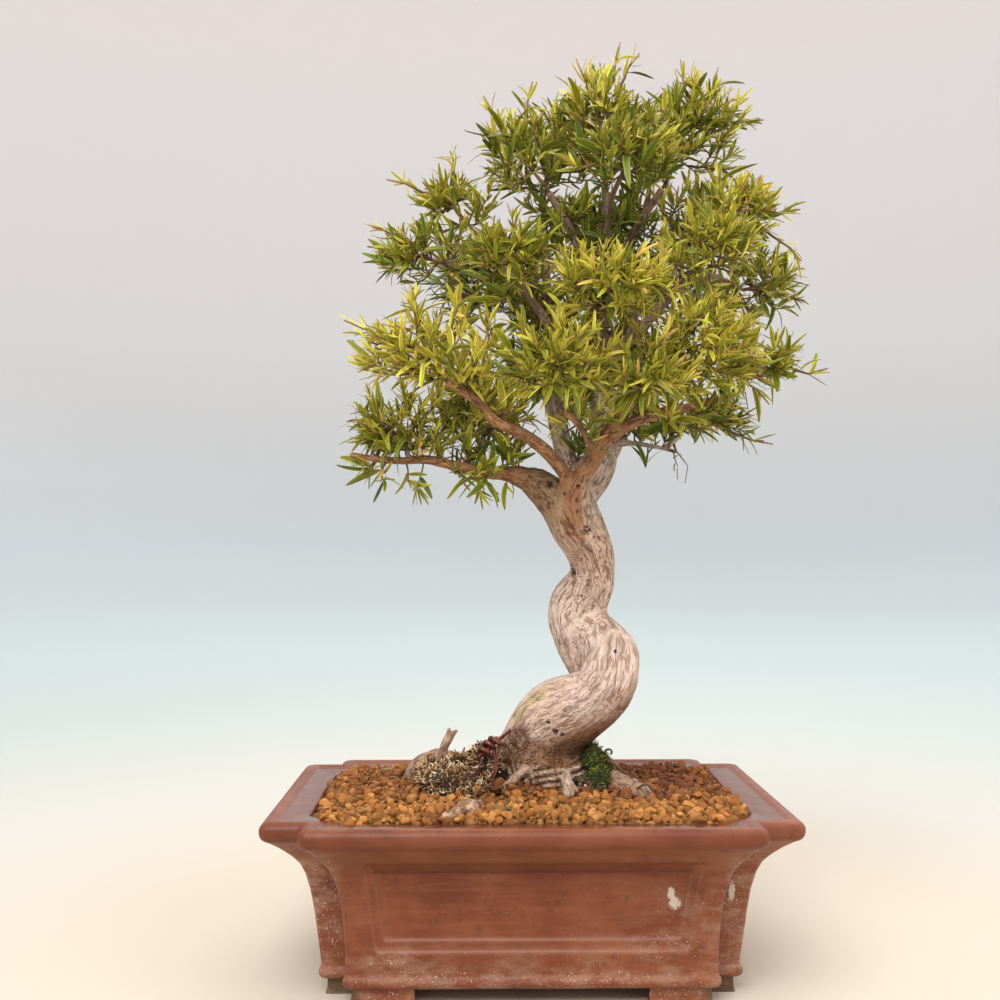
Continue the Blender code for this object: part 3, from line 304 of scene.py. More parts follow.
# Wires: the twist's axis, its bow, radius and turns, then bends as x, y, z and radius
TWIST = np.array([(-31.0, -16, 139.5), (-19.5, -12, 148.5)])
TWIST_BOW, TWIST_RADIUS, TWIST_TURNS, STRAND_RADIUS = 1.5, 3.3, 3.2, 1.6
WIRE_CORE_AND_LEGS = [
    [(-33, -16, 137.5, 1.2), (-26, -14, 143, 1.2), (-20, -11, 148, 1.3), (-14.5, -2, 151, 1.3), (-7, 14, 154, 1.3)],
    [(-30, -18, 138, 1.1), (-32, -20, 133, 0.9), (-36.5, -21, 126, 0.7)],
    [(-23, -15, 143, 1.2), (-22.0, -18, 134, 0.9), (-23.0, -19, 124, 0.8), (-25.0, -18, 106, 0.8)],
    [(-21, -14, 144, 1.2), (-20.5, -17, 135, 0.9), (-23.0, -19, 124, 0.8), (-23.5, -18, 106, 0.8)],
]
HOOK = [(60, 34, 104, 0.8), (59, 33, 118, 0.8), (57, 32, 127, 0.8), (56, 31, 131.5, 0.8), (57, 30.5, 134.5, 0.8),
        (59.5, 30, 135, 0.8), (61, 30, 133.3, 0.75), (60, 30, 131.6, 0.7)]

# Wood colours
PALE = np.array([0.785, 0.610, 0.510])
MIDDLING = np.array([0.58, 0.40, 0.28])
OLIVE_TAN = MIDDLING * (0.56, 0.50, 0.38)
FURROW = np.array([0.12, 0.065, 0.035])
BASE_BROWN = np.array([0.235, 0.098, 0.032])
RED_BARK = np.array([0.33, 0.165, 0.080])
CROWN_BARK = np.array([0.33, 0.205, 0.135])
RED_SCAR = np.array([0.19, 0.062, 0.024])
TORN_YELLOW = np.array([0.60, 0.47, 0.235])
GREENISH = np.array([0.17, 0.15, 0.05])
TWIG_BROWN = np.array([0.165, 0.085, 0.048])
TIP_BROWN = np.array([0.40, 0.225, 0.105])
# Leaf colours: the blade and its margin
GREENS = {
    "old": ((0.080, 0.116, 0.010), (0.23, 0.25, 0.026)), "green": ((0.172, 0.208, 0.011), (0.52, 0.43, 0.045)),
    "yellow": ((0.47, 0.430, 0.018), (0.92, 0.70, 0.14)), "gold": ((0.58, 0.375, 0.060), (0.84, 0.60, 0.17)),
    "bronze": ((0.34, 0.155, 0.040), (0.55, 0.34, 0.10)),
}

# Lamps: place in metres, size and power
LAMPS = {"key": ((-0.5, -1.3, 1.7), 1.3, 35.0), "fill": ((1.3, -0.6, 0.9), 1.2, 7.0),
         "back": ((0.3, 1.3, 1.5), 1.4, 10.0)}
LAMP_TARGET = (0, 0, 0.28)
SKY_COLOUR, SKY_STRENGTH = (1.0, 0.985, 0.96, 1), 1.06

# Backdrop: its profile as radius and height, then how far out and up along it and its colour there, in metres. The
# colour sweep also carries painted light: its lighter and darker bands stand in for how the light falls.
BACKDROP_PROFILE = [(0.4, 0.0), (0.9, 0.0), (1.5, 0.0), (1.9, 0.03), (2.25, 0.14), (2.5, 0.36), (2.66, 0.7),
                    (2.72, 1.2), (2.74, 3.6)]
BACKDROP_SIDES = 96
BACKDROP_REACH = 5.0
BACKDROP_TONES = [
    (0.35, (0.675, 0.605, 0.492)), (0.62, (0.660, 0.645, 0.588)), (1.15, (0.612, 0.668, 0.636)),
    (2.00, (0.628, 0.724, 0.730)), (2.70, (0.582, 0.634, 0.663)), (3.15, (0.632, 0.640, 0.652)),
    (3.60, (0.718, 0.694, 0.694)), (4.40, (0.795, 0.735, 0.735)),
]


# ---- shapes worked out with numpy

def ease(value, low, high):
    """Rises from 0 at low to 1 at high along 3t² - 2t³."""
    t = np.clip((np.asarray(value, float) - low) / (high - low), 0, 1)
    return t * t * (3 - 2 * t)


def cell_value(cells, seed):
    """A value from 0 to 1 for each whole-numbered cell: its coordinates times large primes, mixed by shifts."""
    mixed = cells[..., 0] * 73856093 ^ cells[..., 1] * 19349663 ^ cells[..., 2] * 83492791 ^ (seed + 1) * 6542989
    mixed = (mixed ^ (mixed >> 13)) * 1274126177 & 0xFFFFFFFF
    mixed = (mixed ^ (mixed >> 15)) * 668265263 & 0xFFFFFFFF
    return ((mixed >> 8) & 0xFFFF) / 65535.0


def noise(points, seed=0):
    """Smooth noise from -1 to 1: the values of a unit cell's eight corners, blended by 3t² - 2t³ each way."""
    cell = np.floor(points).astype(np.int64)
    t = points - cell
    t = t * t * (3 - 2 * t)
    total = 0
    for corner in itertools.product((0, 1), repeat=3):
        corner = np.array(corner)
        weight = np.prod(np.where(corner, t, 1 - t), axis=-1)
        total = total + weight * cell_value(cell + corner, seed)
    return total * 2 - 1


def layered(points, octaves, seed=0):
    """Noise of several sizes: each octave is twice as fine and half as strong as the one before."""
    total, strength = 0, 1.0
    for k in range(octaves):
        total = total + noise(points * 2.0 ** k, seed + k) * strength
        strength *= 0.5
    return total / (2 - 2 ** (1 - octaves))


def norm(vectors):
    """The vectors' lengths."""
    return np.linalg.norm(vectors, axis=-1)


def together(*arrays):
    """Arrays, or plain numbers, side by side along a new last axis."""
    return np.stack(np.broadcast_arrays(*arrays), axis=-1)


def full_turn(sides):
    """Even angles round a full turn."""
    return np.arange(sides) * 2 * math.pi / sides


def unit(vectors):
    """The vectors at length 1."""
    return vectors / np.maximum(np.linalg.norm(vectors, axis=-1, keepdims=True), 1e-9)


def smooth_path(rows, spacing):
    """Rows of x, y, z and radius on a Catmull-Rom curve through the given rows, evenly spaced along it."""
    rows = np.asarray(rows, float)
    ends = np.vstack([2 * rows[0] - rows[1], rows, 2 * rows[-1] - rows[-2]])
    t = np.linspace(0, 1, 24, endpoint=False)[:, None]
    pieces = []
    for i in range(len(rows) - 1):
        a, b, c, d = ends[i:i + 4]
        pieces.append(0.5 * (2 * b + (c - a) * t + (2 * a - 5 * b + 4 * c - d) * t ** 2
                             + (3 * b - a - 3 * c + d) * t ** 3))
    fine = np.vstack(pieces + [rows[-1:]])
    travelled = np.concatenate([[0], np.cumsum(norm(np.diff(fine[:, :3], axis=0)))])
    count = max(int(round(travelled[-1] / spacing)), 2)
    places = np.linspace(0, travelled[-1], count + 1)
    return np.stack([np.interp(places, travelled, fine[:, k]) for k in range(4)], axis=1), places


def carried_frames(points):
    """The direction and two cross directions at each point, carried along the path without twisting."""
    along = unit(np.gradient(points, axis=0))
    side = np.cross(along[0], (0.3, -1.0, 0.2))
    sides = []
    for direction in along:
        side = side - direction * side.dot(direction)
        side = side / np.linalg.norm(side)
        sides.append(side)
    sides = np.array(sides)
    return along, sides, np.cross(along, sides)


def grid_faces(rows, columns, closed=True):
    """The four-sided faces of a grid of points; closed joins the last column to the first."""
    index = np.arange(rows * columns).reshape(rows, columns)
    if closed:
        index = np.concatenate([index, index[:, :1]], axis=1)
    return together(index[:-1, :-1], index[:-1, 1:], index[1:, 1:], index[1:, :-1]).reshape(-1, 4)


def repeated(faces, count, each):
    """The same faces for a number of parts that have each so many points."""
    return (faces + (np.arange(count) * each)[:, None, None]).reshape(-1, faces.shape[1])


def parabola(start, pull, end, t):
    """Points on the parabola that leaves start towards pull and arrives at end."""
    return (1 - t) ** 2 * start + 2 * t * (1 - t) * pull + t ** 2 * end


def new_object(name, data):
    """An object at the origin of the scene."""
    made = bpy.data.objects.new(name, data)
    bpy.context.scene.collection.objects.link(made)
    return made


class Surface:
    """Points in millimetres, faces and values for each point, gathered from many parts of one piece."""

    def __init__(self):
        self.points, self.faces, self.values, self.count = [], [], {}, 0

    def add(self, points, face_sets, **values):
        """Adds points and their faces, with any values that are given for each point."""
        points = np.asarray(points, float).reshape(-1, 3)
        self.points.append(points)
        self.faces += [np.asarray(faces) + self.count for faces in face_sets]
        for name, value in values.items():
            self.values.setdefault(name, []).append(np.asarray(value, float).reshape(len(points), -1))
        self.count += len(points)

    def piece(self, name, material, slot, replaces=(), sharp=None, merge=None):
        """Makes the Blender object, riding on the one body of the tree."""
        mesh = bpy.data.meshes.new(name)
        points = np.vstack(self.points) * MM + POT_MIDDLE
        corners = np.concatenate([faces.ravel() for faces in self.faces])
        sizes = np.concatenate([np.full(len(faces), faces.shape[1]) for faces in self.faces])
        mesh.vertices.add(len(points))
        mesh.vertices.foreach_set("co", points.astype(np.float32).ravel())
        mesh.loops.add(len(corners))
        mesh.loops.foreach_set("vertex_index", corners.astype(np.int32))
        mesh.polygons.add(len(sizes))
        mesh.polygons.foreach_set("loop_start", np.concatenate([[0], np.cumsum(sizes)[:-1]]).astype(np.int32))
        mesh.update(calc_edges=True)
        mesh.validate()
        for label, parts in self.values.items():
            values = np.vstack(parts).astype(np.float32)
            if label == "uv":
                mesh.uv_layers.new(name="blade").data.foreach_set("uv", values[corners].ravel())
            else:
                kind, field = ("FLOAT", "value") if values.shape[1] == 1 else ("FLOAT_VECTOR", "vector")
                mesh.attributes.new(label, kind, "POINT").data.foreach_set(field, values.ravel())
        mesh.shade_smooth()
        if sharp:
            mesh.set_sharp_from_angle(angle=math.radians(sharp))
        mesh.materials.append(material)
        made = new_object(name, mesh)
        if merge:
            work = bmesh.new()
            work.from_mesh(mesh)
            bmesh.ops.remove_doubles(work, verts=work.verts, dist=merge * MM)
            bmesh.ops.recalc_face_normals(work, faces=work.faces)
            work.to_mesh(mesh)
            work.free()
        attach(made, "root")
        if replaces:
            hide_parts(*replaces)
        return made


def swept(rows, sides, spacing, swell=None):
    """A tube: round sections carried along a smooth path, each swollen by swell(angle, travelled, radius)."""
    path, travelled = smooth_path(rows, spacing)
    along, right, up = carried_frames(path[:, :3])
    angle = full_turn(sides)
    radius = path[:, 3:4]
    reach = radius * np.ones((1, sides))
    round_points = np.cos(angle)[:, None] * right[:, None] + np.sin(angle)[:, None] * up[:, None]
    if swell is not None:
        reach = reach + swell(angle[None, :] + 0 * radius, travelled[:, None] + 0 * angle[None, :], radius)
    points = path[:, None, :3] + reach[:, :, None] * round_points
    ends = [path[0, :3] - along[0] * radius[0, 0] * 0.3, path[-1, :3] + along[-1] * radius[-1, 0] * 0.6]
    k, start = np.arange(sides), (len(path) - 1) * sides
    first = together(np.roll(k, -1), k, start + sides)
    last = together(start + k, start + np.roll(k, -1), start + sides + 1)
    grain = together(radius * np.cos(angle), radius * np.sin(angle), travelled[:, None]).reshape(-1, 3)
    return (np.vstack([points.reshape(-1, 3), ends]),
            [grid_faces(len(path), sides)[:, ::-1], first[:, ::-1], last[:, ::-1]],
            np.vstack([grain, grain[:1], grain[-1:]]))


# ---- materials

class Finish:
    """A material in the making. Each method adds one node and gives back its output."""

    def __init__(self, name, **sockets):
        self.material = bpy.data.materials.new(name)
        self.material.use_nodes = True
        self.tree = self.material.node_tree
        self.shader = self.tree.nodes["Principled BSDF"]
        for label, value in sockets.items():
            self.shader.inputs[label.replace("_", " ")].default_value = value

    def add(self, kind, inputs, **settings):
        """A node of a kind with its settings and inputs; inputs are numbers, colours or other nodes' outputs."""
        made = self.tree.nodes.new("ShaderNode" + kind)
        for label, value in settings.items():
            setattr(made, label, value)
        for label, value in inputs.items():
            socket = made.inputs[label]
            if isinstance(value, bpy.types.NodeSocket):
                self.tree.links.new(value, socket)
            elif isinstance(value, tuple) and len(value) == 3 and socket.type == "RGBA":
                socket.default_value = (*value, 1)
            else:
                socket.default_value = value
        return made

    def spot(self):
        """Object coordinates."""
        return self.add("TexCoord", {}).outputs["Object"]

    def parts(self, vector):
        """A vector's three numbers."""
        return self.add("SeparateXYZ", {"Vector": vector}).outputs

    def place(self, *scale):
        """Object coordinates, stretched."""
        return self.add("Mapping", {"Vector": self.spot(), "Scale": scale or (1, 1, 1)}).outputs[0]

    def attribute(self, name, output="Fac"):
        """A value that the mesh carries."""
        return self.add("Attribute", {}, attribute_name=name, attribute_type="GEOMETRY").outputs[output]

    def noise(self, scale, detail=3.0, roughness=0.55, at=None, output=0):
        """Cloudy noise: its values, or with output 1 its colours, from 0 to 1."""
        inputs = {"Scale": scale, "Detail": detail, "Roughness": roughness, "Vector": at or self.place()}
        return self.add("TexNoise", inputs).outputs[output]

    def between(self, value, low, high, out_low=0.0, out_high=1.0):
        """Maps low to out_low and high to out_high, and stays within them."""
        return self.add("MapRange", {"Value": value, "From Min": low, "From Max": high, "To Min": out_low,
                                     "To Max": out_high}, interpolation_type="SMOOTHSTEP").outputs[0]

    def math(self, kind, a, b=0.0, clamp=False):
        """Arithmetic on two values."""
        return self.add("Math", {0: a, 1: b}, operation=kind, use_clamp=clamp).outputs[0]

    def times(self, *values):
        """The product of two or more values."""
        return functools.reduce(lambda a, b: self.math("MULTIPLY", a, b), values)

    def plus(self, a, b, clamp=False):
        """One value added to another."""
        return self.math("ADD", a, b, clamp)

    def minus(self, a, b):
        """The first value less the second."""
        return self.math("SUBTRACT", a, b)

    def most(self, *values):
        """The largest of two or more values."""
        return functools.reduce(lambda a, b: self.math("MAXIMUM", a, b), values)

    def vector(self, kind, inputs, output=0):
        """Arithmetic on vectors."""
        return self.add("VectorMath", inputs, operation=kind).outputs[output]

    def blend(self, factor, a, b, kind="MIX"):
        """Colour a turning into colour b by the factor."""
        def colour(value):
            return (*value, 1) if isinstance(value, tuple) and len(value) == 3 else value
        return self.add("Mix", {0: factor, 6: colour(a), 7: colour(b)}, data_type="RGBA", blend_type=kind).outputs[2]

    def over(self, base, colour, where, share):
        """A colour laid over a base where a value is 1, at a share of its strength."""
        return self.blend(self.times(where, share), base, colour)

    def shaded(self, colour, tint):
        """A colour times a tint."""
        return self.blend(1.0, colour, tint, "MULTIPLY")

    def ramp(self, value, *stops):
        """A colour for each place on a scale from 0 to 1."""
        made = self.add("ValToRGB", {"Fac": value})
        band = made.color_ramp
        while len(band.elements) < len(stops):
            band.elements.new(0.5)
        for element, (place, colour) in zip(band.elements, stops):
            element.position, element.color = place, (*colour, 1)
        return made.outputs["Color"]

    def bump(self, height, depth, strength=1.0, after=None):
        """Relief of a depth in metres."""
        inputs = {"Height": height, "Distance": depth, "Strength": strength}
        if after is not None:
            inputs["Normal"] = after
        return self.add("Bump", inputs).outputs[0]

    def near(self, place, reach):
        """1 at a place in millimetres from the pot's centre, falling to 0 at the reach each way."""
        away = self.vector("SUBTRACT", {0: self.spot(), 1: tuple(POT_MIDDLE + np.array(place) * MM)})
        share = self.vector("MULTIPLY", {0: away, 1: tuple(1 / (MM * r) for r in reach)})
        return self.between(self.vector("LENGTH", {0: share}, "Value"), 1.0, 0.0)

    def wear(self, colour=None, roughness=None, normal=None):
        """Connects the finished colour, roughness and relief to the shader."""
        for label, value in (("Base Color", colour), ("Roughness", roughness), ("Normal", normal)):
            if value is not None:
                self.tree.links.new(value, self.shader.inputs[label])
        return self.material


def fired_clay():
    """Unglazed red-brown stoneware: a satin skin, greyish haze, white lime specks and two lime runs."""
    f = Finish("fired_clay", Specular_IOR_Level=0.32)
    x, _, z = f.parts(f.spot())
    base = f.ramp(f.noise(26, 6, 0.62), (0.36, (0.165, 0.038, 0.015)), (0.50, (0.212, 0.055, 0.022)),
                  (0.64, (0.265, 0.083, 0.037)))
    brushed = f.noise(24, 5, 0.6, f.place(1, 1, 11))
    base = f.blend(f.between(brushed, 0.45, 0.75, 0, 0.5), base, (0.29, 0.098, 0.050))
    scuffed = f.noise(95, 6, 0.7)
    base = f.blend(f.between(scuffed, 0.46, 0.34, 0, 0.5), base, (0.125, 0.030, 0.012))
    lip = f.times(f.between(z, 0.0995, 0.102), f.between(z, 0.1125, 0.110))
    base = f.over(base, (0.130, 0.030, 0.011), lip, 0.45)
    # Painted shade along the panels' upper edges, and a painted highlight along their other edges
    line = f.attribute("line")
    base = f.over(base, (0.075, 0.016, 0.008), f.between(line, 0.1, 0.9), 0.65)
    base = f.over(base, (0.40, 0.20, 0.14), f.between(line, -0.1, -0.9), 0.35)
    cove = f.times(f.between(z, 0.080, 0.094), f.between(z, 0.103, 0.098))
    base = f.over(base, (0.235, 0.092, 0.042), cove, 0.35)
    # Haze lies low down, on the corner posts, on the right half and in two patches
    low = f.between(z, 0.046, 0.006)
    off_middle = f.math("ABSOLUTE", f.minus(x, float(POT_MIDDLE[0])))
    posts = f.times(f.between(off_middle, 0.112, 0.123), f.between(z, 0.104, 0.088))
    right = f.times(f.between(x, 0.01, 0.09), f.between(z, 0.088, 0.06))
    patches = f.most(f.near((82, -95, 37), (42, 16, 17)), f.near((-86, -95, 28), (34, 16, 15)))
    haze_place = f.most(f.most(f.times(low, 0.8), f.times(posts, 0.8)), f.most(f.times(right, 0.5), patches))
    haze = f.times(haze_place, f.between(f.noise(48, 7, 0.7, f.place(1, 1, 2.2)), 0.42, 0.66))
    base = f.over(base, (0.45, 0.270, 0.185), haze, 0.72)
    # Specks of lime gather where the haze is
    limit = f.between(f.plus(haze_place, f.times(f.noise(38, 4, 0.6), 1.3)), 0.45, 1.9, 0.755, 0.60)
    flecks = f.between(f.minus(f.noise(820, 2, 0.55), limit), 0.0, 0.04)
    base = f.over(base, (0.66, 0.53, 0.44), flecks, 0.75)
    # Runs and strokes of lime have ragged edges
    blot = f.most(f.near((84, -94, 69), (6.5, 9, 13)), f.near((86, -94, 62), (9, 9, 11)))
    runs = f.most(blot, f.near((124, -80, 65), (6, 20, 19)))
    strokes = f.most(f.near((5, -96, 31.5), (78, 12, 1.7)), f.near((-27, -96, 56.5), (60, 12, 1.1)))
    chalk = f.most(runs, f.times(strokes, 0.75))
    lime = f.between(f.plus(f.times(chalk, 0.8), f.noise(190, 6, 0.75)), 0.98, 1.16)
    base = f.over(base, (0.68, 0.58, 0.46), lime, 0.85)
    wet = f.attribute("wet")
    base = f.over(base, (0.155, 0.050, 0.030), wet, 0.6)
    base = f.over(base, (0.26, 0.055, 0.010), f.times(wet, f.near((50, -116, 112), (62, 12, 5))), 0.8)
    # Grime on the feet, worst at the corners
    grime = f.times(f.between(z, 0.0105, 0.008), f.between(off_middle, 0.100, 0.112))
    grime = f.times(grime, f.between(f.noise(120, 4), 0.25, 0.5))
    base = f.over(base, (0.085, 0.062, 0.028), grime, 0.85)
    fine = f.noise(420, 5, 0.6)
    rough = f.plus(f.between(fine, 0.2, 0.8, 0.36, 0.50), f.times(haze, 0.25))
    rough = f.plus(f.times(rough, f.minus(1.0, wet)), f.times(wet, 0.12), clamp=True)
    relief = f.bump(fine, 0.0003, 0.35)
    relief = f.bump(f.noise(60, 2), 0.0018, 0.25, after=relief)
    return f.wear(base, rough, f.bump(lime, 0.0005, 0.6, after=relief))


def granules():
    """Porous fired-clay granules: each has its own tone, with a chalky, pitted skin."""
    f = Finish("clay_granules")
    own = f.attribute("tone", "Color")
    patchy = f.noise(500, 4, 0.65)
    colour = f.blend(f.between(patchy, 0.35, 0.75, 0, 0.5), own, f.shaded(own, (1.45, 1.38, 1.25)))
    colour = f.blend(f.between(f.noise(900), 0.56, 0.72, 0, 0.55), colour, (0.13, 0.05, 0.012))
    return f.wear(colour, f.between(patchy, 0, 1, 0.78, 0.98), f.bump(f.noise(1100, 4, 0.7), 0.0004, 0.7))


def damp_bed():
    """The damp fines in the gaps between the granules."""
    f = Finish("damp_bed", Roughness=0.9)
    colour = f.ramp(f.noise(350, 5), (0.35, (0.05, 0.02, 0.008)), (0.7, (0.16, 0.07, 0.02)))
    return f.wear(colour, None, f.bump(f.noise(700, 4), 0.001, 0.8))


def bark():
    """Old fig bark: thin wandering cracks and short dashes along the grain, wrinkles at the foot, crisp knots."""
    f = Finish("fig_bark", Specular_IOR_Level=0.3)
    own = f.attribute("tone", "Color")
    rough_skin = f.attribute("rough")
    grain = f.attribute("grain", "Vector")
    stray = f.vector("SUBTRACT", {0: f.noise(110.0, 2.0, 0.5, grain, output=1), 1: (0.5, 0.5, 0.5)})
    wavy = f.vector("ADD", {0: grain, 1: f.vector("SCALE", {0: stray, "Scale": 0.0065})})

    def drawn(scale, detail, along):
        """Noise that is drawn out along the grain."""
        at = f.add("Mapping", {"Vector": wavy, "Scale": (1, 1, along), "Rotation": (0.7, 0.5, 0.35)}).outputs[0]
        return f.noise(scale, detail, 0.6, at)

    def lines(scale, along, wide):
        """Thin lines where the drawn-out noise crosses its middle."""
        off = f.math("ABSOLUTE", f.minus(drawn(scale, 1.0, along), 0.5))
        return f.between(off, wide, wide * 0.25)

    broken = f.noise(210.0, 3.0, 0.5, grain)
    crack = f.times(lines(255.0, 0.15, 0.062), f.between(broken, 0.36, 0.52))
    hairline = f.times(lines(480.0, 0.17, 0.060), f.between(broken, 0.66, 0.46))
    dashes = drawn(840.0, 3.0, 0.20)
    blotches = f.noise(110, 5, 0.65)
    darker, lighter = f.shaded(own, (0.60, 0.45, 0.34)), f.shaded(own, (1.2, 1.19, 1.18))
    colour = f.blend(f.between(dashes, 0.47, 0.37, 0, 0.60), own, darker)
    colour = f.blend(f.between(dashes, 0.54, 0.66, 0, 0.55), colour, lighter)
    colour = f.blend(f.between(blotches, 0.42, 0.28, 0, 0.40), colour, darker)
    dark = f.times(f.plus(f.times(crack, 0.80), f.times(hairline, 0.50), clamp=True), rough_skin)
    colour = f.blend(dark, colour, f.shaded(own, (0.36, 0.24, 0.17)))
    # Fine wrinkles ring the trunk's foot, their grooves darkened as painted shade
    foot = f.times(f.attribute("foot"), f.between(broken, 0.38, 0.55))
    bands = f.add("TexWave", {"Vector": f.spot(), "Scale": 135.0, "Distortion": 11.0, "Detail": 3.0,
                              "Detail Scale": 1.6}, bands_direction="Z").outputs[1]
    wrinkle = f.times(f.between(bands, 0.40, 0.05), foot)
    colour = f.over(colour, (0.045, 0.022, 0.010), wrinkle, 0.6)
    # A knot is a dark ragged pit, and its raised rim is lightened as a painted highlight
    knot = f.plus(f.attribute("knot"), f.times(f.minus(f.noise(700), 0.5), 2.6))
    off_rim = f.math("ABSOLUTE", f.minus(knot, 1.35))
    colour = f.blend(f.between(off_rim, 0.4, 0.1, 0, 0.5), colour, lighter)
    colour = f.over(colour, (0.035, 0.014, 0.007), f.between(knot, 0.85, 0.35), 0.9)
    relief = f.bump(dashes, 0.0007, 0.5)
    relief = f.bump(wrinkle, -0.0010, 0.7, after=relief)
    relief = f.bump(f.minus(1.0, dark), 0.0009, 0.8, after=relief)
    return f.wear(colour, f.between(dashes, 0.2, 0.8, 0.66, 0.86), relief)


def toned(name, scale, tint, depth, roughness):
    """Twigs, moss or lichen: each strand has its own tone, darkened in spots."""
    f = Finish(name, Roughness=roughness)
    own = f.attribute("tone", "Color")
    spots = f.noise(scale)
    colour = f.blend(f.between(spots, 0.3, 0.7, 0, 0.5), own, f.shaded(own, tint))
    return f.wear(colour, None, f.bump(spots, depth, 0.5))


def leaf():
    """A narrow fig leaf: its own green, a paler margin and midrib, side veins and a waxy gloss."""
    f = Finish("fig_leaf", Specular_IOR_Level=0.3)
    own, rim_tone = f.attribute("tone", "Color"), f.attribute("rim", "Color")
    u, v, _ = f.parts(f.add("UVMap", {}, uv_map="blade").outputs[0])
    side = f.math("ABSOLUTE", u)
    rib = f.between(side, 0.16, 0.03)
    colour = f.over(own, rim_tone, f.between(side, 0.48, 0.84), 0.85)
    colour = f.over(colour, rim_tone, rib, 0.40)
    slanted = f.add("CombineXYZ", {0: f.minus(v, f.times(side, 0.1)), 1: 0.0, 2: 0.0}).outputs[0]
    veins = f.add("TexWave", {"Vector": slanted, "Scale": 5.0, "Distortion": 0.4}).outputs[1]
    colour = f.over(colour, rim_tone, f.between(veins, 0.75, 0.95), 0.16)
    mottled = f.noise(260)
    colour = f.blend(f.between(mottled, 0.5, 0.8, 0, 0.3), colour, f.shaded(colour, (0.7, 0.75, 0.6)))
    relief = f.bump(f.minus(f.times(veins, 0.25), rib), 0.0002, 0.5)
    return f.wear(colour, f.between(mottled, 0.2, 0.8, 0.36, 0.52), relief)


def wire(name, light, dark, metallic):
    """Old tie wire, tarnished in patches."""
    f = Finish(name, Metallic=metallic)
    patches = f.noise(300, 4)
    colour = f.blend(f.between(patches, 0.4, 0.65), light, dark)
    return f.wear(colour, f.between(patches, 0.3, 0.7, 0.28, 0.5), f.bump(patches, 0.0002, 0.4))


def mesh_plastic():
    """Black plastic mesh, dusted with soil."""
    f = Finish("mesh_plastic", Roughness=0.55)
    return f.wear(f.blend(f.between(f.noise(300, 4), 0.5, 0.8, 0, 0.5), (0.02, 0.02, 0.02), (0.12, 0.07, 0.04)))


# ---- the pot

def between_rows(table, heights):
    """Values of a two-column table at the heights."""
    table = np.array(table, float)
    return np.interp(heights, table[:, 0], table[:, 1])


def split(stops, counts):
    """Places along a line: even steps between each two stops, without the last stop. Stops may be arrays."""
    out = []
    for a, b, count in zip(stops[:-1], stops[1:], counts):
        for k in range(count):
            out.append(a + (b - a) * k / count)
    return np.stack(np.broadcast_arrays(*out), axis=-1)


def panel_half(panel, z):
    """A panel's half width at a height."""
    top, bottom, low, high = panel
    return bottom + (top - bottom) * np.clip((z - low) / (high - low), 0, 1)


def quarter_outline(z, inset, notch, corner, hollow):
    """A quarter of the stepped outline, for many heights at once: the side, three rounded corners, the front.

    Corners are quarter circles. Columns stand on the panels' edges at every height.
    """
    a, b = RIM_HALF_WIDTH - inset, RIM_HALF_DEPTH - inset
    edge = PANEL_EDGE
    y_panel = panel_half(SIDE_PANEL, z)
    y = split([0 * z, y_panel - edge, y_panel + edge, b - NOTCH_DEPTH - corner], SIDE_COLUMNS)
    side = together(a[:, None], y)
    turn = np.linspace(0, math.pi / 2, CORNER_COLUMNS)[None, :]

    def arc(cx, cy, radius, angles):
        return together(cx, cy)[:, None] + radius[:, None, None] * together(np.cos(angles), np.sin(angles))

    first = arc(a - corner, b - NOTCH_DEPTH - corner, corner, turn)
    second = arc(a - notch + hollow, b - NOTCH_DEPTH + hollow, hollow, 1.5 * math.pi - turn)
    third = arc(a - notch - corner, b - corner, corner, turn)
    outer, inner = (panel_half(panel, z) for panel in FRONT_PANELS)
    x = split([a - notch - corner, outer + edge, outer - edge, inner + edge, inner - edge, 0 * z], FRONT_COLUMNS)
    return np.concatenate([side, first, second, third, together(x[:, 1:], b[:, None]), together(0 * b, b)[:, None]],
                          axis=1)


def chamfered_quarter(inset, cut, columns):
    """A quarter of the opening's outline: straight sides and a bowed chamfer, with given column shares."""
    a, b = RIM_HALF_WIDTH - inset, RIM_HALF_DEPTH - inset
    sides, bends, fronts = columns
    side = together(a, sides * (b - cut))
    start, end = np.array([a, b - cut]), np.array([a - cut, b])
    through = np.array([a - CHAMFER_BOW * cut, b - CHAMFER_BOW * cut])
    pull = 2 * through - 0.5 * (start + end)
    bend = parabola(start, pull, end, bends[:, None])
    return np.concatenate([side, bend, together(fronts * (a - cut), b)])


def full_outline(quarter):
    """Mirrors quarter outlines into closed ones. The shared points at the middles appear once."""
    second = quarter[:, ::-1][:, 1:] * (-1, 1)
    third = quarter[:, 1:] * (-1, -1)
    fourth = quarter[:, ::-1][:, 1:-1] * (1, -1)
    return np.concatenate([quarter, second, third, fourth], axis=1)


def panel_depth(points):
    """How far the wall is pressed in: a smooth step of one depth at each panel's edges."""
    x, y, z = points[..., 0], points[..., 1], points[..., 2]
    edge = PANEL_EDGE

    def pressed(panel, place):
        low, high = panel[2:]
        return (ease(panel_half(panel, z) - np.abs(place), -edge, edge) * ease(z - low, -edge, edge)
                * ease(high - z, -edge, edge))

    front = sum(pressed(panel, x) for panel in FRONT_PANELS)
    return front * PANEL_STEP, pressed(SIDE_PANEL, y) * PANEL_STEP


def painted_panel_light(points):
    """1 along a panel's upper edge, for painted shade, and -1 along its other edges, for a painted highlight.

    Each line is a bell curve of the distance from the edge.
    """
    x, z = points[..., 0], points[..., 2]
    total = 0 * z
    for panel in FRONT_PANELS:
        low, high = panel[2:]
        within = ease(panel_half(panel, z) - np.abs(x), -1, 1)
        upright = np.exp(-((np.abs(x) - panel_half(panel, z)) / 0.9) ** 2) * (z > low) * (z < high)
        total = total + within * (np.exp(-((z - high) / 0.9) ** 2) - np.exp(-((z - low) / 0.9) ** 2)) - 0.6 * upright
    return total


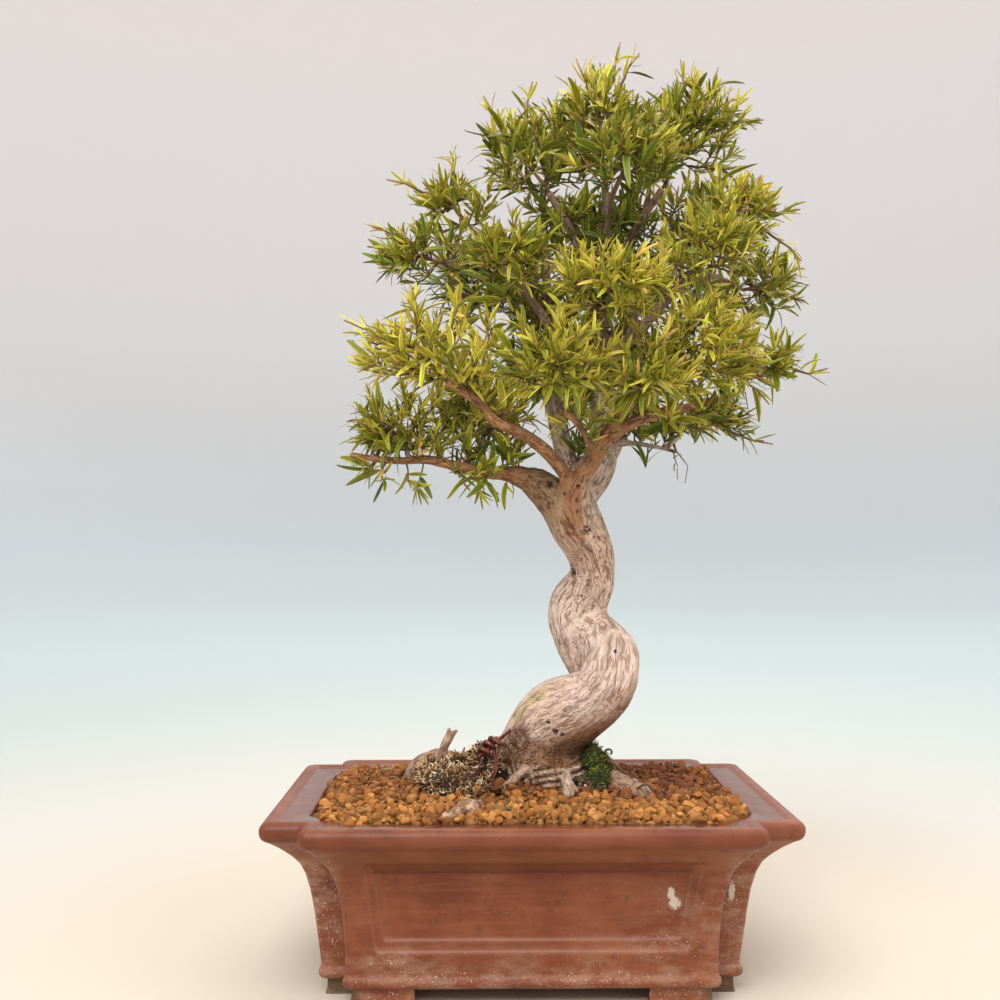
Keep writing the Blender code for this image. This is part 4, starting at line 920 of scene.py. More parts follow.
def wall_rows():
    """The outer rows: height and inset, with rows either side of each panel's edges."""
    lips = np.array(BASE_MOULDING + WALL + LIP)
    panel_edges = sorted(level for panel in FRONT_PANELS for level in panel[2:])
    levels = [p + s for p in panel_edges for s in (-PANEL_EDGE, 0, PANEL_EDGE)]
    travelled = np.concatenate([[0], np.cumsum(np.hypot(*np.diff(lips, axis=0).T))])
    fine = np.unique(np.concatenate([np.arange(0, travelled[-1], 2.6), travelled]))
    rows = together(np.interp(fine, travelled, lips[:, 0]), np.interp(fine, travelled, lips[:, 1]))
    low, high = PANELLED
    body = (rows[:, 0] > low) & (rows[:, 0] < high)
    extra = np.array([[z, np.interp(z, rows[body, 0], rows[body, 1])] for z in levels])
    near = np.array([np.min(np.abs(z - np.array(levels))) < 1.6 for z in rows[:, 0]]) & body
    lower = rows[:, 0] < low
    middle = np.vstack([rows[body & ~near], extra])
    middle = middle[np.argsort(middle[:, 0])]
    return np.vstack([rows[lower & ~body], middle, rows[~lower & ~body]])


def plate(outline, z, holes):
    """A flat floor between an outline and two round holes, as two halves that meet on the middle line."""
    count = len(outline)
    front, back = 3 * count // 4, count // 4
    parts = []
    for sign, start in ((1, front), (-1, back)):
        half = np.roll(outline, -start, axis=0)[:2 * count // 4 + 1]
        line = together(0.0, np.linspace(half[-1, 1], half[0, 1], 16)[1:-1])
        loop = np.vstack([half, line])
        turn = np.arctan2(loop[:, 1], loop[:, 0] - sign * DRAIN_X)
        circle = together(sign * DRAIN_X + holes * np.cos(turn), holes * np.sin(turn))
        rings = np.stack([circle + (loop - circle) * share for share in (0, 0.3, 1.0)])
        points = np.concatenate([rings, np.full((*rings.shape[:2], 1), z)], axis=-1)
        parts.append((points.reshape(-1, 3), grid_faces(3, len(loop)), circle))
    return parts


def rounded_loop(corners, radius, steps=4):
    """A polygon with its corners rounded: each is a parabola between points a radius away along its sides."""
    corners = np.asarray(corners, float)
    before, after = np.roll(corners, 1, axis=0), np.roll(corners, -1, axis=0)
    start = corners + unit(before - corners) * radius
    end = corners + unit(after - corners) * radius
    t = np.linspace(0, 1, steps + 1)[None, :, None]
    return parabola(start[:, None], corners[:, None], end[:, None], t).reshape(-1, 2)


def pushed_out(loop, distance):
    """A closed loop moved out along its own normals."""
    along = unit(np.roll(loop, -1, axis=0) - np.roll(loop, 1, axis=0))
    return loop + together(along[:, 1], -along[:, 0]) * distance


def add_plain(surface, points, face_sets):
    """Adds a part of the pot that is neither wet nor lined."""
    blank = np.zeros(points.size // 3)
    surface.add(points, face_sets, wet=blank, line=blank)


def feet(surface):
    """Four L-shaped feet under the corners, a little wider at the top, with softened edges."""
    for sx, sy in itertools.product((1, -1), repeat=2):
        a, b = RIM_HALF_WIDTH - FOOT_INSET, RIM_HALF_DEPTH - FOOT_INSET
        nx, ny, wide, length = FOOT_NOTCH, NOTCH_DEPTH, FOOT_WIDTH, FOOT_LENGTH
        corners = np.array([
            (a - nx, b), (a - nx - length, b), (a - nx - length + 2, b - wide), (a - nx - wide, b - wide),
            (a - nx - wide, b - ny - wide), (a - wide, b - ny - wide), (a - wide, b - ny - length + 2),
            (a, b - ny - length), (a, b - ny), (a - nx, b - ny),
        ])
        loop = rounded_loop(corners, 1.5)
        rows = [(0.0, -1.0), (0.25, -0.45), (0.9, -0.1), (5.0, 0.1), (UNDERSIDE_Z + 0.8, 0.5)]
        rings = np.stack([np.c_[pushed_out(loop, -out) * (sx, sy), np.full(len(loop), z)] for z, out in rows])
        grid = grid_faces(len(rows), len(loop))
        caps = [np.arange(len(loop))[None, :], (len(rows) - 1) * len(loop) + np.arange(len(loop))[None, :]]
        turned = grid if sx * sy > 0 else grid[:, ::-1]
        add_plain(surface, rings, [turned, *caps])


def pot():
    """The pot's shell: outline rows up the wall, over the rim and down the inside, closed by its floors."""
    rows = np.vstack([wall_rows(), np.array(LEDGE)])
    z, inset = rows[:, 0], rows[:, 1]
    notch = between_rows(NOTCH_WIDTHS, z)
    corner, hollow = between_rows(CORNER_RADII, z), between_rows(HOLLOW_RADII, z)
    on_top = np.arange(len(rows)) >= len(rows) - len(LEDGE) - 3
    corner = np.where(on_top, np.maximum(corner - (inset - 4) * 0.2, 2.5), corner)
    quarters = quarter_outline(z, inset, notch, corner, hollow)
    columns = quarters.shape[1]
    last = quarters[-1]
    bend_start = sum(SIDE_COLUMNS)
    bend_end = bend_start + 3 * CORNER_COLUMNS
    sides = last[:bend_start, 1] / last[bend_start, 1]
    fronts = last[bend_end:, 0] / last[bend_end - 1, 0]
    shares = (sides, np.linspace(0, 1, bend_end - bend_start), fronts)
    inner_rows = INNER_EDGE + INNER_WALL
    inner = np.stack([chamfered_quarter(stands_in, cut, shares) for _, stands_in, cut in inner_rows])
    outlines = np.concatenate([full_outline(quarters), full_outline(inner)])
    heights = np.concatenate([z, [row[0] for row in inner_rows]])
    count = outlines.shape[1]
    points = np.concatenate([outlines, np.broadcast_to(heights[:, None, None], (*outlines.shape[:2], 1))], axis=-1)
    front, side = panel_depth(points)
    wall = np.zeros(len(heights), bool)
    wall[:len(z)] = (z > PANELLED[0]) & (z < PANELLED[1])
    column = np.arange(count)
    quarter_size = columns - 1
    place = column % (2 * quarter_size)
    place = np.where(place > quarter_size, 2 * quarter_size - place, place)
    on_side, on_front = place < bend_start, place >= bend_end
    points[..., 0] -= np.sign(points[..., 0]) * side * (wall[:, None] & on_side[None])
    points[..., 1] -= np.sign(points[..., 1]) * front * (wall[:, None] & on_front[None])
    uneven = layered(points / 34.0, 2, 3) * 0.35 * (heights < 112)[:, None]
    points[..., :2] += unit(points[..., :2]) * uneven[..., None] * wall[:, None, None]
    ledge_rows = np.arange(len(heights))
    wet = ((ledge_rows >= len(z) - 2) & (ledge_rows < len(z) + 4)).astype(float)
    lines = painted_panel_light(points) * (wall[:, None] & on_front[None])
    surface = Surface()
    surface.add(points, [grid_faces(len(heights), count)], wet=np.repeat(wet, count), line=lines.reshape(-1))
    lower, upper = plate(outlines[0], UNDERSIDE_Z, DRAIN_RADIUS), plate(outlines[-1], FLOOR_Z, DRAIN_RADIUS)
    for (low_points, low_faces, circle), (up_points, up_faces, _) in zip(lower, upper):
        add_plain(surface, low_points, [low_faces])
        add_plain(surface, up_points, [up_faces])
        rim = np.stack([np.c_[circle, np.full(len(circle), z)] for z in (UNDERSIDE_Z, FLOOR_Z)])
        add_plain(surface, rim, [grid_faces(2, len(circle))])
    feet(surface)
    surface.piece("pot_shell", fired_clay(), "clay", ["pot"], sharp=55, merge=0.002)


# ---- the wood

class Field:
    """The smooth union of tubes: each tube's distance is taken from its segments, and the tubes blend."""

    def __init__(self, paths):
        self.tubes = []
        for rows in paths:
            path, travelled = smooth_path(rows, 4.0)
            along, right, up = carried_frames(path[:, :3])
            self.tubes.append((path, travelled, along, right, up))

    def tube_distance(self, tube, points, placed=False):
        """Distance to one tube's skin; placed also gives the place along it, averaged softly over the segments.

        Points well outside the tube's own box get a large distance, since they don't matter.
        """
        path, travelled = tube[:2]
        reach = path[:, 3].max() + TUBE_MARGIN
        near = ((points > path[:, :3].min(axis=0) - reach) & (points < path[:, :3].max(axis=0) + reach)).all(axis=1)
        own = points[near]
        best, total, place = np.full(len(own), FAR), np.full(len(own), 1e-30), np.zeros(len(own))
        for k in range(len(path) - 1):
            a, b = path[k, :3], path[k + 1, :3]
            step = b - a
            t = np.clip((own - a) @ step / step.dot(step), 0, 1)
            radius = path[k, 3] + (path[k + 1, 3] - path[k, 3]) * t
            gap = norm(own - a - t[:, None] * step) - radius
            best = np.minimum(best, gap)
            if placed:
                weight = np.exp(-0.7 * np.clip(gap, -20, 40))
                total += weight
                place += weight * (travelled[k] + t * (travelled[k + 1] - travelled[k]))
        gaps, places = np.full(len(points), FAR), np.zeros(len(points))
        gaps[near], places[near] = best, place / total
        return gaps, places

    def blended(self, points):
        """The blended distance: minus k times the log of the summed exponentials of minus distance over k."""
        gaps = np.stack([self.tube_distance(tube, points)[0] for tube in self.tubes])
        low = gaps.min(axis=0)
        return low - WOOD_BLEND * np.log(np.exp(-(gaps - low) / WOOD_BLEND).sum(axis=0)), gaps

    def grain(self, points):
        """Coordinates that follow the nearest tube's grain: across, across and along it, and the tube's number."""
        results = [self.tube_distance(tube, points, True) for tube in self.tubes]
        owner = np.argmin(np.stack([gaps for gaps, _ in results]), axis=0)
        grain, radius, around = np.zeros((len(points), 3)), np.zeros(len(points)), np.zeros(len(points))
        for number, ((path, travelled, _, right, up), (_, places)) in enumerate(zip(self.tubes, results)):
            mine = owner == number
            rows = np.concatenate([path, right, up], axis=1)
            at = np.stack([np.interp(places[mine], travelled, column) for column in rows.T], axis=1)
            away = points[mine] - at[:, :3]
            around[mine] = np.arctan2((away * at[:, 7:]).sum(axis=1), (away * at[:, 4:7]).sum(axis=1))
            radius[mine] = at[:, 3]
            grain[mine, 2] = places[mine] + TUBE_STEP * number
        grain[:, 0], grain[:, 1] = radius * np.cos(around), radius * np.sin(around)
        return grain, radius, around, owner


def furrows(grain, scale, seed):
    """Wavy ridges along the grain: folded noise that is drawn out along it, 0 in a furrow and 1 on a ridge."""
    warp = noise(grain / (9.0, 9.0, 26.0), seed + 7) * 1.6
    at = grain / (scale, scale, scale * 5.5) + warp[:, None] * (0.5, 0.5, 0.9)
    return 1 - np.abs(noise(at, seed)) * 1.7 - 0.35 * np.abs(noise(at * 2.1, seed + 1))


def trunk_paths():
    """The tubes that make the trunk, its roots and the starts of the thick limbs."""
    paths = [TRUNK, MIDDLE_TRUNK, UPPER_TRUNK, *ROOTS.values()]
    for name, count in BLENDED_STARTS.items():
        rows = [list(row) for row in LIMBS[name][:count]]
        rows[-1][3] *= 0.55
        paths.append(rows)
    return paths


def mixed(a, b, share):
    """Colour a turning into colour b."""
    share = np.asarray(share)[..., None]
    return a * (1 - share) + b * share


def trunk():
    """Trunk and roots: a remeshed union drawn onto the blended field, then furrowed, folded and knotted."""
    paths = trunk_paths()
    surface = Surface()
    for rows in paths:
        surface.add(*swept(rows, 20, 3.0)[:2])
    rough = surface.piece("trunk_draft", None, "bark")
    cell = rough.modifiers.new("cells", "REMESH")
    cell.mode, cell.voxel_size = "VOXEL", WOOD_CELL * MM
    graph = bpy.context.evaluated_depsgraph_get()
    remeshed = bpy.data.meshes.new_from_object(rough.evaluated_get(graph))
    bpy.data.objects.remove(rough)
    points = np.empty(len(remeshed.vertices) * 3)
    remeshed.vertices.foreach_get("co", points)
    points = (points.reshape(-1, 3) - POT_MIDDLE) / MM
    corners = np.empty(len(remeshed.loops), int)
    remeshed.loops.foreach_get("vertex_index", corners)
    faces = corners.reshape(-1, 4)
    field = Field(paths)
    for _ in range(3):
        gap, _ = field.blended(points)
        slope = np.stack([field.blended(points + step)[0] - gap for step in np.eye(3) * 0.25], axis=1) / 0.25
        points = points - np.clip(gap, -2.5, 2.5)[:, None] * unit(slope)
    normal = unit(slope)
    grain, radius, around_tube, owner = field.grain(points)
    z = points[:, 2]
    on_trunk = owner < TRUNK_TUBES
    low = ease(z, 139, 133)
    ridges = furrows(grain, 3.0, 11)
    waves = (0.035 * np.sin(3 * around_tube + 0.04 * grain[:, 2])
             + 0.03 * np.sin(5 * around_tube - 0.05 * grain[:, 2] + 1.0)
             + 0.02 * np.sin(0.14 * grain[:, 2] + around_tube)) * radius * on_trunk
    # Round folds with sharp gaps ring the trunk's foot, and slanting wrinkles run down its left side
    wander = 2.6 * noise(points / (17.0, 17.0, 22.0), 41) + 0.8 * noise(points / 6.0, 42)
    level = 2 * np.abs(np.cos(math.pi * (z - 0.10 * points[:, 0] + wander) / 5.0)) - 1
    slanting = 2 * np.abs(np.cos(math.pi * (0.83 * points[:, 0] + 0.56 * z + 1.5 * wander) / 4.8)) - 1
    leftward = ease(points[:, 0] + 5 * noise(points / 12.0, 44), 6, -3)
    folds = (level * (1 - leftward) * low + slanting * leftward * ease(z, 158, 146)) * on_trunk
    frontal = ease(z, 132, 128) * ease(points[:, 1], 12, -2)
    folds = folds * np.maximum(0.6 * ease(noise(points / (15.0, 15.0, 8.0), 43), -0.5, 0.2), frontal)
    folds = folds * (0.8 + 0.5 * noise(points / 3.5, 45))
    is_gnarled, on_lobe = owner == root_number("gnarled_root"), owner == root_number("left_lobe")
    lumps = layered(points / 12.0, 3, 51) * (0.45 + 1.2 * ease(z, 146, 126)) * ease(radius, 2, 9)
    lumps = lumps + layered(points / 4.5, 3, 53) * (0.5 * ease(z, 150, 135) + 1.3 * is_gnarled)
    # Torn bark along the top of the lowest bend
    torn = np.zeros(len(points))
    for a, b in zip(TORN[:-1], TORN[1:]):
        t = np.clip((points - a) @ (b - a) / (b - a).dot(b - a), 0, 1)
        away = norm(points - a - t[:, None] * (b - a))
        torn = np.maximum(torn, ease(away + 2.5 * noise(points / 6.0, 57), 10.5, 5.5))
    flakes = np.abs(noise(grain / (3.0, 3.0, 11.0), 58)) * 2 - 0.6
    height = waves + lumps + (ridges - 0.4) * 0.45 * ease(radius, 2, 12) + folds * 1.7 + torn * flakes * 1.5
    knot = np.full(len(points), NO_KNOT)
    for place, size, sunken in KNOTS:
        away = norm(points - place)
        away = (away - away.min()) / size * (1 + 0.3 * noise(points / 1.8, 77))
        height += size * (0.30 * np.exp(-((away - 1.3) / 0.5) ** 2) - sunken * np.exp(-(away / 0.7) ** 2))
        knot = np.minimum(knot, away + 0.8 * (0.5 - sunken))
    first, second = np.sort(field.blended(points)[1], axis=0)[:2]
    crease = ease(second - first, 3.2, 0.0) * within(points, CREASE)
    points = points + normal * (height - 0.8 * crease)[:, None]
    surface = Surface()
    # The grain jumps where two tubes meet, so the bark's lines fade there
    rough = (0.80 + 0.20 * ease(z, 190, 250)) * ease(second - first, 0.3, 3.0)
    foot = ease(z + 5 * noise(points / 15.0, 91), 156, 142) * (on_trunk + 0.8 * on_lobe)
    surface.add(points, [faces], tone=trunk_tones(points, normal, owner, grain, folds, torn, crease), rough=rough,
                grain=grain * MM, knot=knot, foot=foot)
    surface.piece("trunk", BARK, "bark", ["wood"])


def within(points, region):
    """1 at the middle of a region, falling to 0 at its half sizes."""
    middle, reach = (np.array(v, float) for v in region)
    return ease(norm((points - middle) / reach), 1.0, 0.35)


def root_number(name):
    """A root's place among the tubes."""
    return TRUNK_TUBES + list(ROOTS).index(name)


def trunk_tones(points, normal, owner, grain, folds, torn, crease):
    """The trunk's colours: pale on the bends, tan above, red-brown at the crotch, dark and wrinkled at the foot."""
    x, y, z = points.T
    patch = layered(points / 20.0, 4, 61)
    low = ease(z, 146, 128)
    # A smooth red-brown strip comes down from the front limbs, with olive-tan bark on its left
    strip = ease(np.abs(x - 30 - 0.10 * (310 - z) + 3 * patch), 9, 5) * ease(z, 268, 296) * (y < 12)
    # Painted shade on the undersides of the bends, which face downward
    shaded_underside = ease(-normal[:, 2], 0.0, 0.7) * ease(z, 225, 165)
    foot = ease(z + 7 * patch - 0.10 * (x - 20), 157, 144)
    foot_tone = mixed(BASE_BROWN, MIDDLING * 0.75, ease(patch, -0.1, 0.5) * 0.5)
    scar_tone = mixed(RED_SCAR, MIDDLING * 0.6, ease(layered(points / 5.0, 2, 72), 0.0, 0.4))
    fold_highlight_region = ease(z + 3 * patch, 136, 130) + 0.40 * ease(x, 8, -4) + 0.5 * ease(x, 40, 46)
    is_root = (owner >= TRUNK_TUBES) & (owner < TRUNK_TUBES + len(ROOTS))
    is_front = (owner == root_number("front_root")) | (owner == root_number("front_root_fork"))
    root_tone = mixed(PALE * (0.66, 0.57, 0.48), MIDDLING * (0.62, 0.52, 0.45), ease(patch, -0.2, 0.4))
    gnarled_tone = mixed(PALE * (0.92, 0.80, 0.70), RED_BARK, ease(layered(points / 3.5, 2, 74), 0.0, 0.3))
    damp = ease(noise(points / 8.0, 81) - 0.02 * (z - 112), -0.1, 0.6)
    tone = PALE
    for colour, share in (
        (MIDDLING, ease(patch, -0.05, 0.55) * 0.5),
        (MIDDLING, ease(z + 16 * patch, 238, 290) * 0.85),
        (FURROW, ease(furrows(grain, 3.0, 11), 0.15, -0.35) * 0.4),
        (OLIVE_TAN, ease(z + 8 * patch, 276, 296) * ease(x, 28, 20) * 0.85),
        (RED_BARK * (1.08, 0.92, 0.78), strip * 0.85),
        (PALE * 0.70, ease(z, 288, 306) * ease(x - 0.3 * (z - 300), 38, 44) * 0.8),
        (BASE_BROWN * 1.25, shaded_underside * 0.75),
        (foot_tone, foot * 0.95),
        (scar_tone, within(points, RED_SCAR_PLACE) * 0.9),
        (TORN_YELLOW, torn * 0.75),
        (GREENISH, torn * ease(layered(grain / (3.0, 3.0, 12.0), 2, 73), 0.05, 0.35) * 0.8),
        # Fold crests are paler, partly pale bark and partly painted highlight, and the gaps between folds get painted
        # shade
        (PALE * (0.80, 0.76, 0.66), low * np.clip(fold_highlight_region, 0, 1) * ease(folds, -0.1, 0.6) * 0.9),
        (FURROW * 0.45, ease(folds, -0.1, -0.65) * 0.92),
        (root_tone, is_root * 0.9),
        (FURROW * 1.2, is_root * ease(layered(points / 4.0, 3, 71), 0.0, 0.45) * 0.65),
        (gnarled_tone, (owner == root_number("gnarled_root")) * 0.85),
        (PALE * 0.85, is_front * ease(noise(grain / (1.2, 1.2, 9.0), 75), -0.1, 0.3) * 0.8),
        (GREENISH, damp * low * 0.4),
    ):
        tone = mixed(tone, colour, share)
    # Where a limb begins, its own colour comes in along it
    for number, (name, count) in enumerate(BLENDED_STARTS.items(), start=TRUNK_TUBES + len(ROOTS)):
        mine = owner == number
        if mine.any():
            length = norm(np.diff(np.array(LIMBS[name][:count])[:, :3], axis=0)).sum()
            along = grain[mine, 2] - TUBE_STEP * number
            own = limb_tones(name, points[mine], grain[mine])
            tone[mine] = mixed(tone[mine], own, ease(along, 0.15 * length, 0.75 * length))
    # Painted shade darkens the crease where the trunk presses against itself
    return mixed(tone, FURROW, crease * 0.75)


def limb_swell(seed, ridge, flared=True):
    """Ridges along a limb and slow swellings, with a flared foot where it leaves another limb."""
    def swell(angle, travelled, radius):
        radius = radius + 0 * angle
        grain = together(radius * np.cos(angle), radius * np.sin(angle), travelled).reshape(-1, 3)
        ridges = furrows(grain, 2.2, seed).reshape(angle.shape)
        slow = noise(grain / (7.0, 7.0, 11.0), seed + 3).reshape(angle.shape)
        flare = 0.3 * np.exp(-travelled / (radius.max() * 1.1)) if flared else 0
        return radius * (0.07 * slow + flare) + (ridges - 0.5) * ridge * np.minimum(radius / 6, 1)
    return swell


def limb_tones(name, points, grain):
    """Red-brown on the young front limbs, pale and mottled on the old ones, browner up in the crown."""
    ridges = furrows(grain, 2.2, 5)
    patch = layered(points / 14.0, 3, 15)
    if name in RED_LIMBS:
        tone = mixed(RED_BARK * 1.05, RED_BARK * 1.65, ease(patch, -0.3, 0.5))
        return mixed(tone, FURROW, ease(ridges, 0.3, -0.2) * 0.4)
    if name == "left_shoulder":
        tone = mixed(OLIVE_TAN, RED_BARK * 1.2, ease(points[:, 0], 8, -10))
        return mixed(tone, FURROW, ease(ridges, 0.3, -0.2) * 0.4)
    tone = mixed(PALE * 0.78, MIDDLING * 0.9, ease(patch, -0.2, 0.5))
    tone = mixed(tone, CROWN_BARK, ease(points[:, 2] + 20 * patch, 360, 430) * 0.8)
    return mixed(tone, FURROW, ease(ridges, 0.45, 0.0) * 0.45)


def limb_point(limb, share):
    """The point at a share of a limb's length, its radius there and the limb's direction."""
    rows = np.asarray(LIMBS[limb], float)
    lengths = np.concatenate([[0], np.cumsum(norm(np.diff(rows[:, :3], axis=0)))])
    place = share * lengths[-1]
    row = np.array([np.interp(place, lengths, rows[:, k]) for k in range(4)])
    i = min(int(np.searchsorted(lengths, place, side="right")), len(rows) - 1)
    return row, unit(rows[i, :3] - rows[i - 1, :3])


def carrying_twig(pad):
    """The twig from a limb to where a pad's shoots begin, as in the solids."""
    centre, size, limb, share = PADS[pad][:4]
    start, along = limb_point(limb, share)
    reach = np.asarray(centre, float) - start[:3]
    distance = np.linalg.norm(reach)
    outward = reach / distance
    stop = start[:3] + outward * max(distance - 0.72 * min(size), 0.35 * distance)
    middle = start[:3] + (stop - start[:3]) * 0.5 + (along - outward) * 0.12 * distance + (0, 0, 2)
    return [(*start[:3], min(2.6, start[3] * 0.8)), (*middle, 2.0), (*stop, 1.6)]


def limbs():
    """The limbs past their blended starts, and the twigs that carry the pads."""
    surface = Surface()

    def add(rows, sides, spacing, swell, name, rough):
        points, faces, grain = swept(rows, sides, spacing, swell)
        surface.add(points, faces, tone=limb_tones(name, points, grain), grain=grain * MM,
                    rough=np.full(len(points), rough), foot=np.zeros(len(points)), knot=np.full(len(points), NO_KNOT))

    for seed, (name, rows) in enumerate(LIMBS.items()):
        thick = rows[0][3] > 6
        blended = name in BLENDED_STARTS
        if blended:
            # The limb comes out of the trunk's own tube, which narrows there
            rows = [list(row) for row in rows[BLENDED_STARTS[name] - 2:]]
            rows[0][3] *= 0.8
        sides, spacing, ridge = (26, 1.4, 0.5) if thick else (12, 1.8, 0.3)
        add(rows, sides, spacing, limb_swell(seed * 13 + 3, ridge, not blended), name, 0.8)
    for seed, pad in enumerate(PADS):
        if PADS[pad][3] < 1.0:
            add(carrying_twig(pad), 7, 2.6, limb_swell(seed * 7 + 2, 0.25), "twig", 0.4)
    surface.piece("limbs", BARK, "bark")


# ---- twigs and leaves

def even_directions(count, rng):
    """Directions spread evenly over a ball by the golden angle, from a random start."""
    k = np.arange(count) + 0.5
    height = 1 - 2 * k / count
    turn = k * math.pi * (3 - math.sqrt(5)) + rng.random() * 2 * math.pi
    ring = np.sqrt(1 - height ** 2)
    return together(ring * np.cos(turn), ring * np.sin(turn), height)


def bowed(start, end, lift, steps):
    """Points on a parabola from start to end, its middle moved by lift; works on many at once."""
    t = np.linspace(0, 1, steps)[None, :, None]
    middle = (start + end) / 2 + lift
    return parabola(start[:, None], middle[:, None], end[:, None], t)


def thin_tubes(paths, radii, sides=5):
    """Tubes with equal numbers of points, all at once: paths is tube, point, xyz, and radii tube, point."""
    along = unit(np.gradient(paths, axis=1))
    helper = np.where(np.abs(along[..., 2:3]) > 0.8, (1.0, 0.3, 0), (0.2, 0.1, 1.0))
    right = unit(np.cross(along, helper))
    up = np.cross(along, right)
    turn = full_turn(sides)
    ring = (paths[:, :, None] + radii[:, :, None, None]
            * (np.cos(turn)[:, None] * right[:, :, None] + np.sin(turn)[:, None] * up[:, :, None]))
    tubes, rows = paths.shape[:2]
    tips = paths[:, -1] + along[:, -1] * radii[:, -1:] * 1.5
    points = np.concatenate([ring.reshape(tubes, -1, 3), paths[:, :1], tips[:, None]], axis=1)
    each = points.shape[1]
    k, start = np.arange(sides), (rows - 1) * sides
    base = together(np.roll(k, -1), k, rows * sides)
    tip = together(start + k, start + np.roll(k, -1), rows * sides + 1)
    faces = [repeated(part[:, ::-1], tubes, each) for part in (grid_faces(rows, sides), np.vstack([base, tip]))]
    return points.reshape(-1, 3), faces, each


def leaf_blades(foot, way, face, length, width, curl, bend, fold, stations):
    """Leaf blades, all at once: a closed lens section along a curved midrib.

    Half width follows sin(pi t^0.8)^0.5, which gives straight sides and a short tip. The midrib curls down
    and bends sideways with t², and the two halves fold up from the midrib.
    """
    count = len(foot)
    t = np.linspace(0.5 / stations, 1 - 0.42 / stations, stations)
    across = unit(np.cross(way, face))
    face = np.cross(across, way)
    share = t[None, :, None]
    length3, width3 = length[:, None, None], width[:, None, None]
    curl3, bend3 = curl[:, None, None], bend[:, None, None]
    middle = (foot[:, None] + way[:, None] * length3 * share - face[:, None] * length3 * curl3 * share ** 2
              + across[:, None] * length3 * bend3 * share ** 2)
    along = unit(way[:, None] - 2 * face[:, None] * curl3 * share + 2 * across[:, None] * bend3 * share)
    side = unit(across[:, None] - along * (across[:, None] * along).sum(axis=-1, keepdims=True))
    top = np.cross(side, along)
    half = 0.5 * width3 * np.sin(math.pi * share ** 0.8) ** 0.5
    rise = half * fold[:, None, None]
    thick = 0.16 + 0.05 * width3 / 5
    left, right = middle - side * half + top * rise, middle + side * half + top * rise
    upper, lower = middle + top * thick, middle - top * thick
    tip = foot + way * length[:, None] - face * (length * curl)[:, None] + across * (length * bend)[:, None]
    sections = np.stack([left, upper, right, lower], axis=2).reshape(count, -1, 3)
    points = np.concatenate([foot[:, None], sections, tip[:, None]], axis=1)
    each = points.shape[1]
    k = np.arange(4)
    base = together(0, 1 + np.roll(k, -1), 1 + k)
    last = 1 + (stations - 1) * 4
    end = together(each - 1, last + k, last + np.roll(k, -1))
    faces = [repeated(part[:, ::-1], count, each) for part in (grid_faces(stations, 4) + 1, np.vstack([base, end]))]
    u = np.concatenate([[0], np.tile([-1, 0, 1, 0], stations), [0]])
    v = np.concatenate([[0], np.repeat(t, 4), [1]])
    uv = np.tile(together(u, v), (count, 1))
    return points.reshape(-1, 3), faces, uv, each


def pad_root(pad):
    """Where a pad's shoots begin and which way its limb or twig points there."""
    limb, share = PADS[pad][2:4]
    rows = LIMBS[limb] if share == 1.0 else carrying_twig(pad)
    end, before = np.asarray(rows[-1][:3], float), np.asarray(rows[-2][:3], float)
    return end, unit(end - before)


def shoots_of(pad, rng):
    """A pad's twigs: shoot places spread through its ellipsoid, each joined to the nearest point already grown.

    They reach further on the side that faces the crown's middle, so that the pads grow into each other.
    """
    centre, size = (np.asarray(v, float) for v in PADS[pad][:2])
    root, leaving = pad_root(pad)
    count = int((size[0] * size[1] + size[1] * size[2] + size[0] * size[2]) / SHOOT_AREA)
    ways = even_directions(count, rng)
    facing = ways @ unit(CROWN_MIDDLE - centre)
    outer = np.maximum(size - SHOOT_TO_EDGE, 8) + INFILL * ease(facing, -0.2, 0.6)[:, None]
    depths = np.tile([1.0, 0.9, 0.55, 0.8], count // 4 + 1)[:count, None] * rng.uniform(0.85, 1.05, (count, 1))
    targets = centre + ways * outer * depths * (1, 1, 0.92) + rng.normal(0, 2.0, (count, 3))
    order = np.argsort(norm(targets - root))
    nodes = [root, root + leaving * 5, root + (centre - root) * 0.5, centre]
    depth = [0.0, 5.0, np.linalg.norm(centre - root) * 0.5, np.linalg.norm(centre - root)]
    starts, ends = [nodes[0], nodes[1], nodes[2]], [nodes[1], nodes[2], nodes[3]]
    for i in order:
        target = targets[i]
        gaps = norm(np.array(nodes) - target) + 0.35 * np.array(depth)
        k = int(np.argmin(gaps))
        middle = nodes[k] + (target - nodes[k]) * 0.55
        starts.append(nodes[k])
        ends.append(target)
        travelled = depth[k] + np.linalg.norm(target - nodes[k])
        nodes.append(middle)
        depth.append(depth[k] + (travelled - depth[k]) * 0.55)
    return np.array(starts), np.array(ends)


def around(direction, turn):
    """Directions at right angles to the given ones, turned round them."""
    right = unit(np.cross(direction, (0.2, 0.1, 1.0)))
    up = np.cross(right, direction)
    return right[:, None] * np.cos(turn)[..., None] + up[:, None] * np.sin(turn)[..., None]


